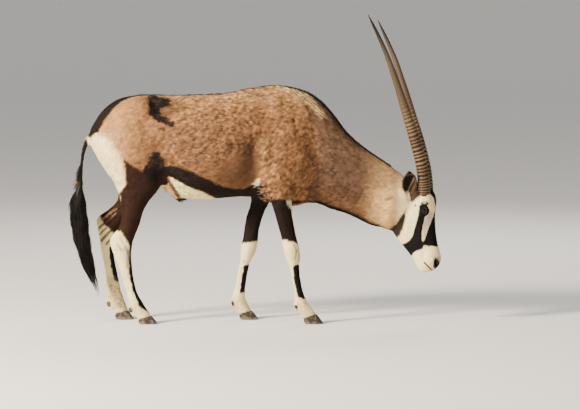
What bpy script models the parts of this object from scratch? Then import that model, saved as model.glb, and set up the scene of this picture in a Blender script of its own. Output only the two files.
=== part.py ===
"""Gemsbok bull, life size, standing still with its head lowered, built as named solids that meet."""
import math

import bmesh
import bpy
import numpy as np
from mathutils import Matrix, Vector

# The real size comes from the height of the withers over the floor.
WITHERS_HEIGHT = 1.186

# The outlines are drawn on a side grid: columns run forward, rows run down, one square is GRID wide.
# The drawing is seen from slightly above, so a limb on the right side is drawn a little lower.
WITHERS_ROW = 84.3
FLOOR_ROW = 321.5
MID_COLUMN = 254.0
GRID = WITHERS_HEIGHT / (FLOOR_ROW - WITHERS_ROW)
VIEW_TILT = math.radians(4.0)

# Flesh surface
VOXEL = 0.007
FLESH_TRIANGLES = 5000
SMOOTH_ANGLE = math.radians(50)
EVEN_ROUNDS = 24
FINE_ROUNDS = 6
PULL_IN = 0.5
PUSH_OUT = -0.52

# Cuts between the named parts: two points of the grid that each cut passes through
CUT_GAP = 0.0003
SHOULDER_REACH = (0.37, 0.30)
POLL_REACH = (0.24, 0.20)
MOUTH_REACH = (0.20, 0.12)
DOCK_REACH = (0.045, 0.04)
TASSEL_REACH = (0.08, 0.08)
KNEE_REACH = (0.10, 0.09)
FETLOCK_REACH = (0.08, 0.09)
SHOULDER_CUT = ((309, 82), (300, 214))
POLL_CUT = ((402, 162), (386.5, 240))
MOUTH_LIPS = (432.5, 272.5)
MOUTH_THROAT = (388.5, 222.4)
DOCK_CUT = ((92, 152), (74, 155))
TASSEL_CUT = ((110, 184), (50, 184))
LEG_CUT_HEIGHT = 0.560
LEG_CUT_X = -0.245
LEG_CUT_REACH = (0.515, 0.30)

# Head, turned towards the animal's right about the upright line through its pivot
HEAD_TURN = math.radians(-13.0)
HEAD_PIVOT_COLUMN = 412.0
HEAD_PIVOT_ROW = 205.0
HEAD_PIVOT_Y = -0.030
BEND_START = 300.0
EYE_RADIUS = 0.0195
EYE_COLUMN = 426.7
EYE_ROW = 210.0
EYE_SIDE = 0.0615
HORN_SIDES = 10
EYE_SIDES = (14, 9)
EAR_THICKNESS = 0.008
EAR_GAP = 0.0006

# Feet
CLAW_WIDTH = 0.034
CLAW_GAP = 0.004
CLAW_LEVELS = (0.0, 0.16, 0.55, 1.0)
CLAW_SIDES = 12
DEWCLAW_SIZE = (0.011, 0.009, 0.015)
DEWCLAW_SIDE = 0.0145
DEWCLAW_TURN = math.radians(-20)
CORONET_BOX = 0.10
CORONET_REACH = (0.08, 0.08)

# Stations of the flesh: upper or front point, lower or rear point (column, row), half width,
# level of the widest place from lower to upper, roundness of the upper and the lower half.
TRUNK = [
    (89.5, 134, 90, 142, 0.022, 0.50, 2.0, 2.0),
    (91, 128, 92.5, 149, 0.055, 0.50, 2.0, 2.0),
    (95, 120.5, 97, 158, 0.088, 0.50, 2.0, 2.0),
    (100, 112.5, 103, 168, 0.115, 0.52, 2.0, 2.0),
    (107, 105.5, 110, 178, 0.142, 0.56, 1.9, 2.0),
    (117, 98.8, 120, 186, 0.168, 0.58, 1.9, 2.0),
    (130, 95.2, 132, 190, 0.190, 0.58, 1.9, 2.0),
    (145, 94.0, 146, 189, 0.202, 0.56, 1.9, 2.0),
    (160, 94.3, 159, 186.5, 0.207, 0.52, 1.9, 2.0),
    (175, 94.6, 172, 190, 0.214, 0.48, 1.9, 2.0),
    (190, 94.4, 186, 198, 0.228, 0.45, 1.9, 2.1),
    (207, 94.0, 205, 199.8, 0.240, 0.43, 1.9, 2.1),
    (225, 92.8, 224, 198.3, 0.242, 0.43, 1.85, 2.1),
    (242, 89.6, 241, 197, 0.233, 0.43, 1.75, 2.0),
    (258, 86.0, 256, 198, 0.212, 0.42, 1.65, 1.9),
    (272, 84.3, 270, 203, 0.188, 0.42, 1.6, 1.8),
    (285, 84.3, 284, 206.5, 0.170, 0.42, 1.6, 1.8),
    (298, 87.5, 296, 207, 0.152, 0.42, 1.7, 1.8),
    (310, 92.6, 305, 204.5, 0.132, 0.42, 1.8, 1.8),
    (320, 99.5, 313, 203.5, 0.112, 0.42, 1.8, 1.8),
]
NECK = [
    (292, 86, 293, 206.5, 0.158, 0.42, 1.65, 1.8),
    (308.5, 91.6, 303, 204.5, 0.143, 0.42, 1.7, 1.8),
    (322.8, 101.8, 313, 203, 0.125, 0.43, 1.75, 1.9),
    (335, 115.8, 324, 207.3, 0.112, 0.44, 1.75, 1.9),
    (346, 131, 335, 211.2, 0.102, 0.45, 1.8, 1.9),
    (358, 142, 347, 214.7, 0.095, 0.46, 1.8, 1.9),
    (370, 151.3, 359, 220, 0.090, 0.48, 1.9, 1.9),
    (382, 160, 371, 225.8, 0.086, 0.50, 1.9, 1.9),
    (393, 167.3, 382, 228, 0.082, 0.52, 2.0, 1.9),
    (403, 175, 391, 231, 0.076, 0.54, 2.0, 1.8),
    (414, 185, 400, 230, 0.066, 0.56, 2.0, 1.8),
]
HEAD = [
    (424.5, 182.5, 413, 181.5, 0.022, 0.52, 2.0, 2.0),
    (428.3, 185.5, 408.5, 185.5, 0.046, 0.55, 2.1, 2.0),
    (432.0, 189.5, 404, 191, 0.061, 0.60, 2.4, 2.0),
    (435.2, 195, 401, 200, 0.071, 0.66, 2.4, 1.9),
    (436.2, 202, 397.2, 210, 0.077, 0.72, 2.4, 1.7),
    (435.6, 209, 394.3, 219, 0.078, 0.74, 2.4, 1.6),
    (435.0, 216, 391.8, 228, 0.071, 0.70, 2.3, 1.6),
    (435.3, 223, 393.4, 234.4, 0.061, 0.66, 2.2, 1.7),
    (436.0, 230, 397.8, 240.2, 0.053, 0.62, 2.2, 1.8),
    (437.0, 237, 402.8, 246.2, 0.047, 0.58, 2.2, 1.9),
    (437.8, 243.5, 407.6, 251.8, 0.042, 0.56, 2.3, 2.0),
    (438.8, 249, 411.8, 257.4, 0.040, 0.54, 2.4, 2.1),
    (439.8, 255, 415.0, 262.9, 0.042, 0.52, 2.5, 2.2),
    (440.2, 260.5, 418.1, 267.9, 0.041, 0.50, 2.5, 2.2),
    (438.3, 265.8, 421.6, 271.4, 0.034, 0.50, 2.4, 2.2),
    (434.5, 269.5, 426.2, 272.7, 0.020, 0.50, 2.2, 2.2),
]
SHEATH = [
    (168, 178, 156, 182, 0.030, 0.50, 2.0, 2.0),
    (172, 183.5, 162, 190, 0.028, 0.50, 2.0, 2.0),
    (178, 190, 168.5, 195.3, 0.023, 0.50, 2.2, 2.2),
    (183, 196, 174.5, 201, 0.019, 0.50, 2.4, 2.4),
    (184.2, 199.5, 177.5, 203.8, 0.015, 0.50, 2.4, 2.4),
    (184.2, 202.3, 179.5, 205.2, 0.011, 0.50, 2.4, 2.4),
]
# Limbs: front point, rear point (column, row), half width, sideways place of the middle.
RIGHT_FORE = [
    (292, 112, 266, 112, 0.030, 0.075),
    (302, 126, 260, 127, 0.052, 0.100),
    (309, 143, 258, 147, 0.068, 0.116),
    (309, 163, 260, 167, 0.072, 0.122),
    (302, 182, 263, 183, 0.067, 0.122),
    (294.5, 197, 268, 197, 0.057, 0.118),
    (292.5, 209, 271.5, 207, 0.047, 0.114),
    (293.5, 220, 275.3, 218, 0.041, 0.112),
    (295.6, 230, 278.5, 229, 0.0365, 0.110),
    (297.6, 240, 281, 238.5, 0.0335, 0.110),
    (299.6, 249, 283, 248, 0.0345, 0.110),
    (300.2, 257, 285.3, 256.5, 0.033, 0.110),
    (299.4, 265, 288.5, 264.5, 0.0265, 0.110),
    (299.8, 274, 291, 273.5, 0.0225, 0.110),
    (301.4, 284, 292.6, 284, 0.0210, 0.110),
    (303.6, 293, 294.3, 293, 0.0225, 0.110),
    (306.5, 300, 295, 302, 0.0270, 0.110),
    (311, 306.5, 297.5, 310, 0.0280, 0.110),
    (315, 311.5, 302, 316.5, 0.0265, 0.110),
    (318.5, 316.5, 306, 321.5, 0.0280, 0.110),
]
LEFT_FORE = [
    (280, 112, 254, 112, 0.030, 0.075),
    (288, 126, 249, 127, 0.052, 0.100),
    (294, 143, 246, 147, 0.068, 0.116),
    (291, 163, 246, 167, 0.072, 0.122),
    (283, 182, 248, 183, 0.067, 0.122),
    (274, 197, 250, 196, 0.057, 0.118),
    (267, 208, 248.7, 205.5, 0.047, 0.114),
    (262.3, 219, 245.6, 216.5, 0.041, 0.112),
    (259.6, 229, 243.6, 227, 0.0365, 0.110),
    (258.4, 239, 242.3, 237.5, 0.0335, 0.110),
    (257, 248, 241, 247, 0.0345, 0.110),
    (253.6, 256, 240.3, 255.5, 0.033, 0.110),
    (250, 263, 239.5, 262.5, 0.0265, 0.110),
    (247.6, 272, 237.8, 271, 0.0225, 0.110),
    (246, 282, 236, 281, 0.0210, 0.110),
    (244.8, 291, 233.7, 290.5, 0.0225, 0.110),
    (245, 298.5, 231.8, 299.5, 0.0270, 0.110),
    (247.5, 304.5, 233.5, 307, 0.0280, 0.110),
    (250.3, 309.5, 237.5, 313, 0.0265, 0.110),
    (253, 314, 240.5, 318, 0.0280, 0.110),
]
RIGHT_HIND = [
    (150, 126, 104, 126, 0.055, 0.120),
    (160, 147, 98.5, 150, 0.072, 0.124),
    (162, 165, 105, 168, 0.076, 0.126),
    (164, 179, 112.5, 181, 0.071, 0.124),
    (162.5, 187, 115.5, 187, 0.066, 0.123),
    (157.5, 195, 118, 194, 0.060, 0.122),
    (149.8, 203.5, 120.5, 203.5, 0.054, 0.120),
    (144.5, 213, 121.5, 214, 0.047, 0.120),
    (141.5, 223, 120.5, 224, 0.041, 0.120),
    (138, 232, 116, 231.5, 0.036, 0.120),
    (135, 239.5, 111, 238, 0.033, 0.120),
    (133, 247, 111, 245, 0.034, 0.120),
    (132.3, 255, 114.5, 254, 0.031, 0.120),
    (132.8, 265, 118.5, 264.5, 0.0265, 0.120),
    (134.2, 277, 122.5, 276.5, 0.0225, 0.120),
    (137, 289, 126.3, 289, 0.0215, 0.120),
    (140.5, 298, 128.8, 299, 0.0240, 0.120),
    (144.5, 304, 130.5, 306, 0.0275, 0.120),
    (148.2, 309.5, 134, 312.5, 0.0270, 0.120),
    (151.2, 314, 138, 318, 0.0260, 0.120),
    (153.5, 318, 141, 322, 0.0270, 0.120),
]
LEFT_HIND = [
    (150, 126, 104, 126, 0.055, 0.120),
    (158, 147, 97.5, 150, 0.072, 0.124),
    (158, 165, 103.5, 168, 0.076, 0.126),
    (153, 180, 110.5, 180, 0.071, 0.124),
    (147, 195, 116.5, 190, 0.062, 0.122),
    (139, 207, 115.5, 199.5, 0.053, 0.120),
    (131, 217, 109.5, 206, 0.046, 0.120),
    (123.5, 226, 103.5, 210.8, 0.040, 0.120),
    (117.5, 233, 98.3, 215, 0.036, 0.120),
    (114, 240, 94.8, 220.5, 0.033, 0.120),
    (112.8, 247, 95.7, 229, 0.034, 0.120),
    (112.8, 255, 98.0, 241, 0.031, 0.120),
    (114.2, 264, 100.5, 254.5, 0.0265, 0.120),
    (116.6, 275, 103, 269.5, 0.0230, 0.120),
    (118.6, 285, 104.8, 282, 0.0220, 0.120),
    (120.4, 293.5, 105.6, 292.5, 0.0240, 0.120),
    (122.8, 300, 106.6, 300.5, 0.0275, 0.120),
    (125.2, 306, 110, 308, 0.0270, 0.120),
    (127, 310.5, 113, 313.5, 0.0260, 0.120),
    (128.8, 314.5, 115.5, 317.5, 0.0270, 0.120),
]
# Each limb ends on its coronet, given as front and rear point, and stands on a sole from heel to toe.
FEET = {
    "right_fore": ((316.2, 313.5), (303.6, 318.3), 305.0, 323.5, -0.110),
    "left_fore": ((251.2, 311.2), (238.8, 315.0), 240.3, 258.6, 0.110),
    "right_hind": ((151.8, 315.2), (139.2, 319.4), 140.3, 158.3, -0.120),
    "left_hind": ((127.2, 311.2), (113.8, 314.6), 115.0, 133.0, 0.120),
}
# Upper edge of the cannon and of the pastern (front and rear point) for the cuts of each limb.
LIMB_CUTS = {
    "right_fore": (((304, 262), (280, 262)), ((312, 295), (290, 298))),
    "left_fore": (((256, 260), (234, 261)), ((250, 294), (226, 296))),
    "right_hind": (((140, 254), (106, 249)), ((148, 296), (124, 299))),
    "left_hind": (((120, 256), (90, 236)), ((127, 292), (100, 292))),
}
# Middle line of the tail and of its tassel with half widths: column, row, half width.
TAIL = [
    (92, 133, 0.018),
    (88.2, 138.5, 0.016),
    (85.2, 146, 0.0145),
    (82.8, 157, 0.0125),
    (81.6, 168, 0.0120),
    (81.0, 178, 0.0140),
    (80.0, 186, 0.0205),
    (78.6, 194, 0.033),
    (78.0, 203, 0.044),
    (78.5, 214, 0.048),
    (79.6, 225, 0.047),
    (81.2, 237, 0.0455),
    (83.8, 249, 0.0425),
    (86.6, 260, 0.038),
    (89.4, 270, 0.033),
    (92.6, 279, 0.024),
    (95.6, 287, 0.015),
    (97.6, 294, 0.006),
]
DEWCLAWS = {
    "right_fore": (296.6, 306.5),
    "left_fore": (232.9, 304.3),
    "right_hind": (131.6, 309.3),
    "left_hind": (107.6, 304.6),
}
# Horn, drawn on the head's own middle plane: column, row, distance from that plane, radius.
HORN = [
    (424.8, 199, 0.0365, 0.0300),
    (425.7, 190, 0.0375, 0.0308),
    (424.9, 178, 0.0395, 0.0300),
    (423.2, 166, 0.0430, 0.0288),
    (419.3, 150, 0.0485, 0.0284),
    (413.8, 131, 0.0570, 0.0268),
    (406.3, 107, 0.0700, 0.0236),
    (402.7, 95, 0.0775, 0.0212),
    (397.8, 80, 0.0865, 0.0182),
    (390.4, 58.5, 0.0985, 0.0150),
    (382.4, 40, 0.1070, 0.0110),
    (376.6, 28, 0.1130, 0.0075),
    (371.8, 18.2, 0.1190, 0.0020),
]
# The right horn is a little longer than the left.
HORN_REACH = {-1: 1.0155, 1: 0.981}
# Ear: along its length, half width of the cup, depth of the cup.
EAR_ROOT = (412.2, 196.2, 0.060)
EAR_TIPS = {-1: (412.8, 172.4, 0.104), 1: (404.6, 178.0, 0.128)}
EAR_OPEN = (0.42, 0.87, 0.10)
EAR_LENGTH = 0.140
EAR_SHAPE = [
    (-0.05, 0.015, 0.013),
    (0.05, 0.021, 0.020),
    (0.20, 0.029, 0.024),
    (0.38, 0.0375, 0.024),
    (0.56, 0.0385, 0.020),
    (0.72, 0.033, 0.015),
    (0.86, 0.021, 0.009),
    (0.96, 0.010, 0.004),
    (1.00, 0.003, 0.001),
]

COLOURS = {
    "trunk": (0.46, 0.31, 0.20),
    "neck": (0.47, 0.33, 0.22),
    "head": (0.60, 0.52, 0.42),
    "jaw": (0.78, 0.74, 0.66),
    "forearm": (0.045, 0.030, 0.024),
    "gaskin": (0.075, 0.042, 0.030),
    "cannon": (0.80, 0.75, 0.65),
    "pastern": (0.74, 0.69, 0.60),
    "claw": (0.060, 0.052, 0.048),
    "dewclaw": (0.050, 0.042, 0.038),
    "ear": (0.30, 0.22, 0.16),
    "horn": (0.052, 0.040, 0.034),
    "eye": (0.020, 0.014, 0.010),
    "tail": (0.055, 0.040, 0.032),
    "tassel": (0.014, 0.013, 0.013),
}
ROUGHNESS = {"claw": 0.55, "dewclaw": 0.6, "horn": 0.45, "eye": 0.08}


def place(column, row, y):
    """Point of the side drawing, put at the sideways distance y."""
    x = (column - MID_COLUMN) * GRID
    z = ((FLOOR_ROW - row) * GRID - y * math.sin(VIEW_TILT)) / math.cos(VIEW_TILT)
    return Vector((x, y, z))


def smooth_rows(rows, steps):
    """Rows of numbers with even curves passed through them."""
    out = []
    last = len(rows) - 1
    for i in range(last):
        a = rows[max(i - 1, 0)]
        b = rows[i]
        c = rows[i + 1]
        d = rows[min(i + 2, last)]
        for k in range(steps):
            t = k / steps
            row = []
            for p, q, r, s in zip(a, b, c, d):
                bend = 2 * q + (r - p) * t + (2 * p - 5 * q + 4 * r - s) * t * t
                row.append(0.5 * (bend + (3 * q - p - 3 * r + s) * t * t * t))
            out.append(tuple(row))
    out.append(tuple(rows[last]))
    return out


def solid(name, rings):
    """Closed solid from rings of points, with a flat fan at each end."""
    mesh = bpy.data.meshes.new(name)
    work = bmesh.new()
    loops = [[work.verts.new(p) for p in ring] for ring in rings]
    sides = len(rings[0])
    for low, high in zip(loops, loops[1:]):
        for k in range(sides):
            n = (k + 1) % sides
            work.faces.new((low[k], low[n], high[n], high[k]))
    for loop in (loops[0], loops[-1]):
        middle = work.verts.new(sum((v.co for v in loop), Vector()) / sides)
        for k in range(sides):
            work.faces.new((loop[k], loop[(k + 1) % sides], middle))
    bmesh.ops.recalc_face_normals(work, faces=work.faces)
    work.to_mesh(mesh)
    work.free()
    made = bpy.data.objects.new(name, mesh)
    bpy.context.collection.objects.link(made)
    return made


def ring_between(upper, lower, half_width, level, upper_power, lower_power, sides):
    """One closed section between an upper and a lower point, widest at the given level."""
    middle = lower.lerp(upper, level)
    ring = []
    for k in range(sides):
        angle = 2 * math.pi * k / sides
        over = math.sin(angle)
        across = math.cos(angle)
        power = upper_power if over >= 0 else lower_power
        tip = upper if over >= 0 else lower
        point = middle.lerp(tip, abs(over) ** (2 / power))
        side = math.copysign(abs(across) ** (2 / power), across)
        ring.append(point + Vector((0, half_width * side, 0)))
    return ring


def body_solid(name, rows, sides, steps, y_of):
    """Solid through the stations of a trunk, a neck or a sheath."""
    rings = []
    for ux, ur, lx, lr, width, level, up, low in smooth_rows(rows, steps):
        y = y_of(0.5 * (ux + lx))
        rings.append(ring_between(place(ux, ur, y), place(lx, lr, y), width, level, up, low, sides))
    return solid(name, rings)


def limb_solid(name, rows, sign, sides, steps):
    """Solid through the stations of a limb on the left (+1) or the right (-1)."""
    rings = []
    for fx, fr, rx, rr, width, y in smooth_rows(rows, steps):
        front = place(fx, fr, sign * y)
        rear = place(rx, rr, sign * y)
        rings.append(ring_between(front, rear, width, 0.52, 2.1, 2.0, sides))
    return solid(name, rings)


def head_point(column, row, side):
    """Point of the head's own drawing, turned with the head."""
    pivot = place(HEAD_PIVOT_COLUMN, HEAD_PIVOT_ROW, HEAD_PIVOT_Y)
    flat = place(column, row, HEAD_PIVOT_Y)
    local = Vector((flat.x - pivot.x, side, flat.z - pivot.z))
    return pivot + Matrix.Rotation(HEAD_TURN, 3, "Z") @ local


def head_solid(name):
    """Skull, face and lower jaw in one, from the forehead line to the jaw line."""
    rings = []
    for fx, fr, bx, br, width, level, up, low in smooth_rows(HEAD, 3):
        front = Vector((fx, 0, fr))
        back = Vector((bx, 0, br))
        flat = ring_between(front, back, width, level, up, low, 28)
        rings.append([head_point(p.x, p.z, p.y) for p in flat])
    return solid(name, rings)


def middle_y(column):
    """Sideways place of the middle of the trunk, the same all along."""
    return 0.0


def neck_y(column):
    """Sideways place of the neck's middle, bending towards the turned head."""
    bend = min(max((column - BEND_START) / (HEAD_PIVOT_COLUMN - BEND_START), 0.0), 1.0)
    return HEAD_PIVOT_Y * bend * bend


def select_only(obj):
    bpy.ops.object.select_all(action="DESELECT")
    obj.select_set(True)
    bpy.context.view_layer.objects.active = obj


def join(objects, name):
    bpy.ops.object.select_all(action="DESELECT")
    for obj in objects:
        obj.select_set(True)
    bpy.context.view_layer.objects.active = objects[0]
    bpy.ops.object.join()
    objects[0].name = name
    return objects[0]


def even_out(obj, rounds, weight_of, keep_size):
    """Draw each point towards its neighbours, then back out where the size is kept."""
    mesh = obj.data
    count = len(mesh.vertices)
    points = np.empty(count * 3)
    mesh.vertices.foreach_get("co", points)
    points = points.reshape(count, 3)
    pairs = np.empty(len(mesh.edges) * 2, dtype=np.int64)
    mesh.edges.foreach_get("vertices", pairs)
    a = pairs[0::2]
    b = pairs[1::2]
    degree = np.bincount(pairs, minlength=count).astype(float)
    weight = weight_of(points)
    steps = (PULL_IN, PUSH_OUT) if keep_size else (PULL_IN,)
    for i in range(rounds):
        for step in steps:
            total = np.empty_like(points)
            for k in range(3):
                total[:, k] = np.bincount(a, points[b, k], count) + np.bincount(b, points[a, k], count)
            drift = total / degree[:, None] - points
            points = points + drift * (weight * step)[:, None]
    mesh.vertices.foreach_set("co", points.ravel())
    mesh.update()


def apply_modifier(obj, kind, **settings):
    select_only(obj)
    modifier = obj.modifiers.new(kind.title(), kind)
    for key, value in settings.items():
        setattr(modifier, key, value)
    bpy.ops.object.modifier_apply(modifier=modifier.name)


def slab(points, normal, half_x, half_y, thickness, name):
    """Thin cutting box on a plane through a point."""
    bpy.ops.mesh.primitive_cube_add(size=1.0)
    cutter = bpy.context.active_object
    cutter.name = name
    across = Vector((0, 1, 0))
    turned = normal.normalized()
    along = across.cross(turned).normalized()
    across = turned.cross(along).normalized()
    grid = Matrix((along, across, turned)).transposed()
    for vertex in cutter.data.vertices:
        local = Vector((vertex.co.x * half_x * 2, vertex.co.y * half_y * 2, vertex.co.z * thickness))
        vertex.co = grid @ local
    middle = sum(points, Vector()) / len(points)
    cutter.data.transform(Matrix.Translation(middle))
    cutter.display_type = "WIRE"
    cutter.hide_render = True
    return cutter


def subtract(obj, cutter, drop=True):
    apply_modifier(obj, "BOOLEAN", operation="DIFFERENCE", solver="EXACT", object=cutter)
    if drop:
        bpy.data.objects.remove(cutter, do_unlink=True)


def grown_copy(obj, distance):
    """Copy with its surface moved outwards, to leave a gap round another solid."""
    made = obj.copy()
    made.data = obj.data.copy()
    bpy.context.collection.objects.link(made)
    apply_modifier(made, "DISPLACE", strength=distance, mid_level=0.0)
    made.display_type = "WIRE"
    made.hide_render = True
    return made


def cut_between(front, rear, y, reach_x, reach_y, turn, name):
    """Cutting box that holds the line from front to rear."""
    a = place(front[0], front[1], y)
    b = place(rear[0], rear[1], y)
    along = (a - b).normalized()
    normal = Vector((-along.z, 0, along.x))
    normal = Matrix.Rotation(turn, 3, "Z") @ normal
    return slab([a, b], normal, reach_x, reach_y, CUT_GAP, name)


def paint(obj, key):
    """Give the solid its own material."""
    material = bpy.data.materials.new("mat_" + obj.name)
    material.use_nodes = True
    shader = material.node_tree.nodes["Principled BSDF"]
    shader.inputs["Base Color"].default_value = (*COLOURS[key], 1.0)
    shader.inputs["Roughness"].default_value = ROUGHNESS.get(key, 0.85)
    shader.inputs["Metallic"].default_value = 0.0
    obj.data.materials.clear()
    obj.data.materials.append(material)


def finish(obj, name, key):
    obj.name = name
    obj.data.name = name
    paint(obj, key)
    select_only(obj)
    bpy.ops.object.shade_smooth_by_angle(angle=SMOOTH_ANGLE)


def path_solid(name, middles, radii, sides):
    """Round solid that follows a line of points."""
    rings = []
    for i, middle in enumerate(middles):
        before = middles[max(i - 1, 0)]
        after = middles[min(i + 1, len(middles) - 1)]
        along = (after - before).normalized()
        across = along.cross(Vector((1, 0, 0))).normalized()
        up = across.cross(along).normalized()
        ring = []
        for k in range(sides):
            angle = 2 * math.pi * k / sides
            ring.append(middle + radii[i] * (across * math.cos(angle) + up * math.sin(angle)))
        rings.append(ring)
    return solid(name, rings)


def horn_solid(name, sign):
    """Long straight horn, thick and blunt at the base, pointed at the tip."""
    base_row = HORN[0][1]
    middles = []
    for column, row, side, radius in HORN:
        reached = base_row - (base_row - row) * HORN_REACH[sign]
        middles.append(head_point(column, reached, sign * side))
    return path_solid(name, middles, [row[3] for row in HORN], HORN_SIDES)


def ear_solid(name, sign):
    """Cupped leaf of an ear, solid at its root and open to the side and a little forwards."""
    root = head_point(EAR_ROOT[0], EAR_ROOT[1], sign * EAR_ROOT[2])
    tip = head_point(EAR_TIPS[sign][0], EAR_TIPS[sign][1], sign * EAR_TIPS[sign][2])
    along = (tip - root).normalized()
    opening = Matrix.Rotation(HEAD_TURN, 3, "Z") @ Vector((EAR_OPEN[0], sign * EAR_OPEN[1], EAR_OPEN[2]))
    opening = (opening - along * opening.dot(along)).normalized()
    across = along.cross(opening).normalized()
    rings = []
    for t, width, depth in EAR_SHAPE:
        wall = min(EAR_THICKNESS, 0.5 * width, 0.6 * depth)
        cup = min(max((t + 0.02) / 0.25, 0.0), 1.0)
        middle = root + along * (EAR_LENGTH * t)
        ring = []
        for k in range(7):
            angle = math.pi * (k / 6 - 0.5)
            ring.append(middle + across * (width * math.sin(angle)) - opening * (depth * math.cos(angle)))
        for k in range(6, -1, -1):
            angle = math.pi * (k / 6 - 0.5)
            inner = (depth - wall) * cup * math.cos(angle)
            lip = 0.004 * (1 - cup)
            inside = (width - 0.6 * wall) * math.sin(angle)
            ring.append(middle + across * inside - opening * (inner - 0.25 * wall - lip))
        rings.append(ring)
    return solid(name, rings)


def claw_solid(name, foot, side):
    """One half of a cloven hoof, flat underneath, with its top on the coronet plane."""
    front, rear, heel, toe, y = FEET[foot]
    front = place(front[0], front[1], y)
    rear = place(rear[0], rear[1], y)
    heel_x = place(heel, 0, y).x
    toe_x = place(toe, 0, y).x
    rings = []
    for level in CLAW_LEVELS:
        width = CLAW_WIDTH * (1.0 - 0.14 * level)
        back = heel_x + (rear.x - heel_x) * level - 0.004 * math.sin(math.pi * level)
        fore = toe_x + (front.x - toe_x) * level
        ring = []
        for k in range(CLAW_SIDES):
            angle = 2 * math.pi * k / CLAW_SIDES
            u = math.cos(angle)
            v = math.sin(angle)
            x = 0.5 * (back + fore) + 0.5 * (fore - back) * u
            taper = 1.0 - 0.30 * max(u, 0.0) ** 2 * (1.0 - level)
            across = side * 0.5 * (CLAW_GAP + width) + 0.5 * width * v * taper
            top = rear.z + (front.z - rear.z) * (x - rear.x) / (front.x - rear.x) - 1.5 * CUT_GAP
            ring.append(Vector((x, y + across, top * level)))
        rings.append(ring)
    return solid(name, rings)


def ball(name, centre, radii, segments, rings, turn=0.0):
    """Egg-shaped solid."""
    bpy.ops.mesh.primitive_uv_sphere_add(segments=segments, ring_count=rings, radius=1.0)
    made = bpy.context.active_object
    made.name = name
    size = Matrix.Diagonal((radii[0], radii[1], radii[2], 1.0))
    made.data.transform(Matrix.Translation(centre) @ Matrix.Rotation(turn, 4, "Y") @ size)
    return made


def split(obj, cutter):
    """Cut a solid in two along a thin box and give back the pieces, largest first."""
    subtract(obj, cutter)
    select_only(obj)
    bpy.ops.mesh.separate(type="LOOSE")
    return list(bpy.context.selected_objects)


def keep_largest(obj):
    """Drop the crumbs that trimming leaves behind."""
    select_only(obj)
    bpy.ops.mesh.separate(type="LOOSE")
    pieces = sorted(bpy.context.selected_objects, key=lambda piece: len(piece.data.vertices))
    for crumb in pieces[:-1]:
        bpy.data.objects.remove(crumb, do_unlink=True)
    return pieces[-1]


def middle_of(obj):
    points = [vertex.co for vertex in obj.data.vertices]
    return sum(points, Vector()) / len(points)


def box_below(front, rear, y, name):
    """Thick cutting box whose top face is the coronet plane."""
    a = place(front[0], front[1], y)
    b = place(rear[0], rear[1], y)
    along = (a - b).normalized()
    normal = Vector((-along.z, 0, along.x))
    drop = normal * (0.5 * CORONET_BOX)
    return slab([a - drop, b - drop], normal, *CORONET_REACH, CORONET_BOX, name)


for old in list(bpy.data.objects):
    bpy.data.objects.remove(old, do_unlink=True)

# Flesh: overlapping solids are melted into one skin, evened out and thinned
flesh = [
    body_solid("trunk", TRUNK, 40, 3, middle_y),
    body_solid("neck", NECK, 36, 3, neck_y),
    body_solid("sheath", SHEATH, 16, 2, middle_y),
    head_solid("head"),
    limb_solid("right_fore", RIGHT_FORE, -1, 20, 3),
    limb_solid("left_fore", LEFT_FORE, 1, 20, 3),
    limb_solid("right_hind", RIGHT_HIND, -1, 20, 3),
    limb_solid("left_hind", LEFT_HIND, 1, 20, 3),
]
tail_rings = []
for column, row, width in smooth_rows(TAIL, 3):
    middle = place(column, row, 0.0)
    ring = []
    for k in range(16):
        angle = 2 * math.pi * k / 16
        ring.append(middle + Vector((width * math.cos(angle), 0.8 * width * math.sin(angle), 0)))
    tail_rings.append(ring)
flesh.append(solid("tail", tail_rings))
body = join(flesh, "body")
apply_modifier(body, "REMESH", mode="VOXEL", voxel_size=VOXEL, adaptivity=0.0)


def blend_weight(points):
    """Strong on the trunk, faint on the head and the lower limbs."""
    low = np.clip((points[:, 2] - 0.50) / 0.12, 0.0, 1.0)
    front = np.clip((0.62 - points[:, 0]) / 0.10, 0.0, 1.0)
    rear = np.clip((points[:, 0] + 0.82) / 0.04, 0.0, 1.0)
    return low * front * rear


def full_weight(points):
    return np.ones(len(points))


even_out(body, EVEN_ROUNDS, blend_weight, False)
even_out(body, FINE_ROUNDS, full_weight, True)

# Thin the skin
apply_modifier(body, "TRIANGULATE")
apply_modifier(body, "DECIMATE", ratio=FLESH_TRIANGLES / len(body.data.polygons))

# Cuts between the named parts of the flesh
pieces = split(body, cut_between(*SHOULDER_CUT, 0.0, *SHOULDER_REACH, 0.0, "cut_shoulder"))
pieces.sort(key=lambda piece: middle_of(piece).x)
trunk = pieces[0]
poll_turn = 0.7 * HEAD_TURN
pieces = split(pieces[1], cut_between(*POLL_CUT, HEAD_PIVOT_Y, *POLL_REACH, poll_turn, "cut_poll"))
pieces.sort(key=lambda piece: middle_of(piece).x)
neck = pieces[0]
skull = pieces[1]
lips = head_point(*MOUTH_LIPS, 0.0)
throat = head_point(*MOUTH_THROAT, 0.0)
line = (lips - throat).normalized()
side_line = Matrix.Rotation(HEAD_TURN, 3, "Z") @ Vector((0, 1, 0))
mouth_box = slab([lips, throat], line.cross(side_line), *MOUTH_REACH, CUT_GAP, "cut_mouth")
pieces = split(skull, mouth_box)
pieces.sort(key=lambda piece: middle_of(piece).z)
jaw = pieces[0]
skull = pieces[1]

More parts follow.
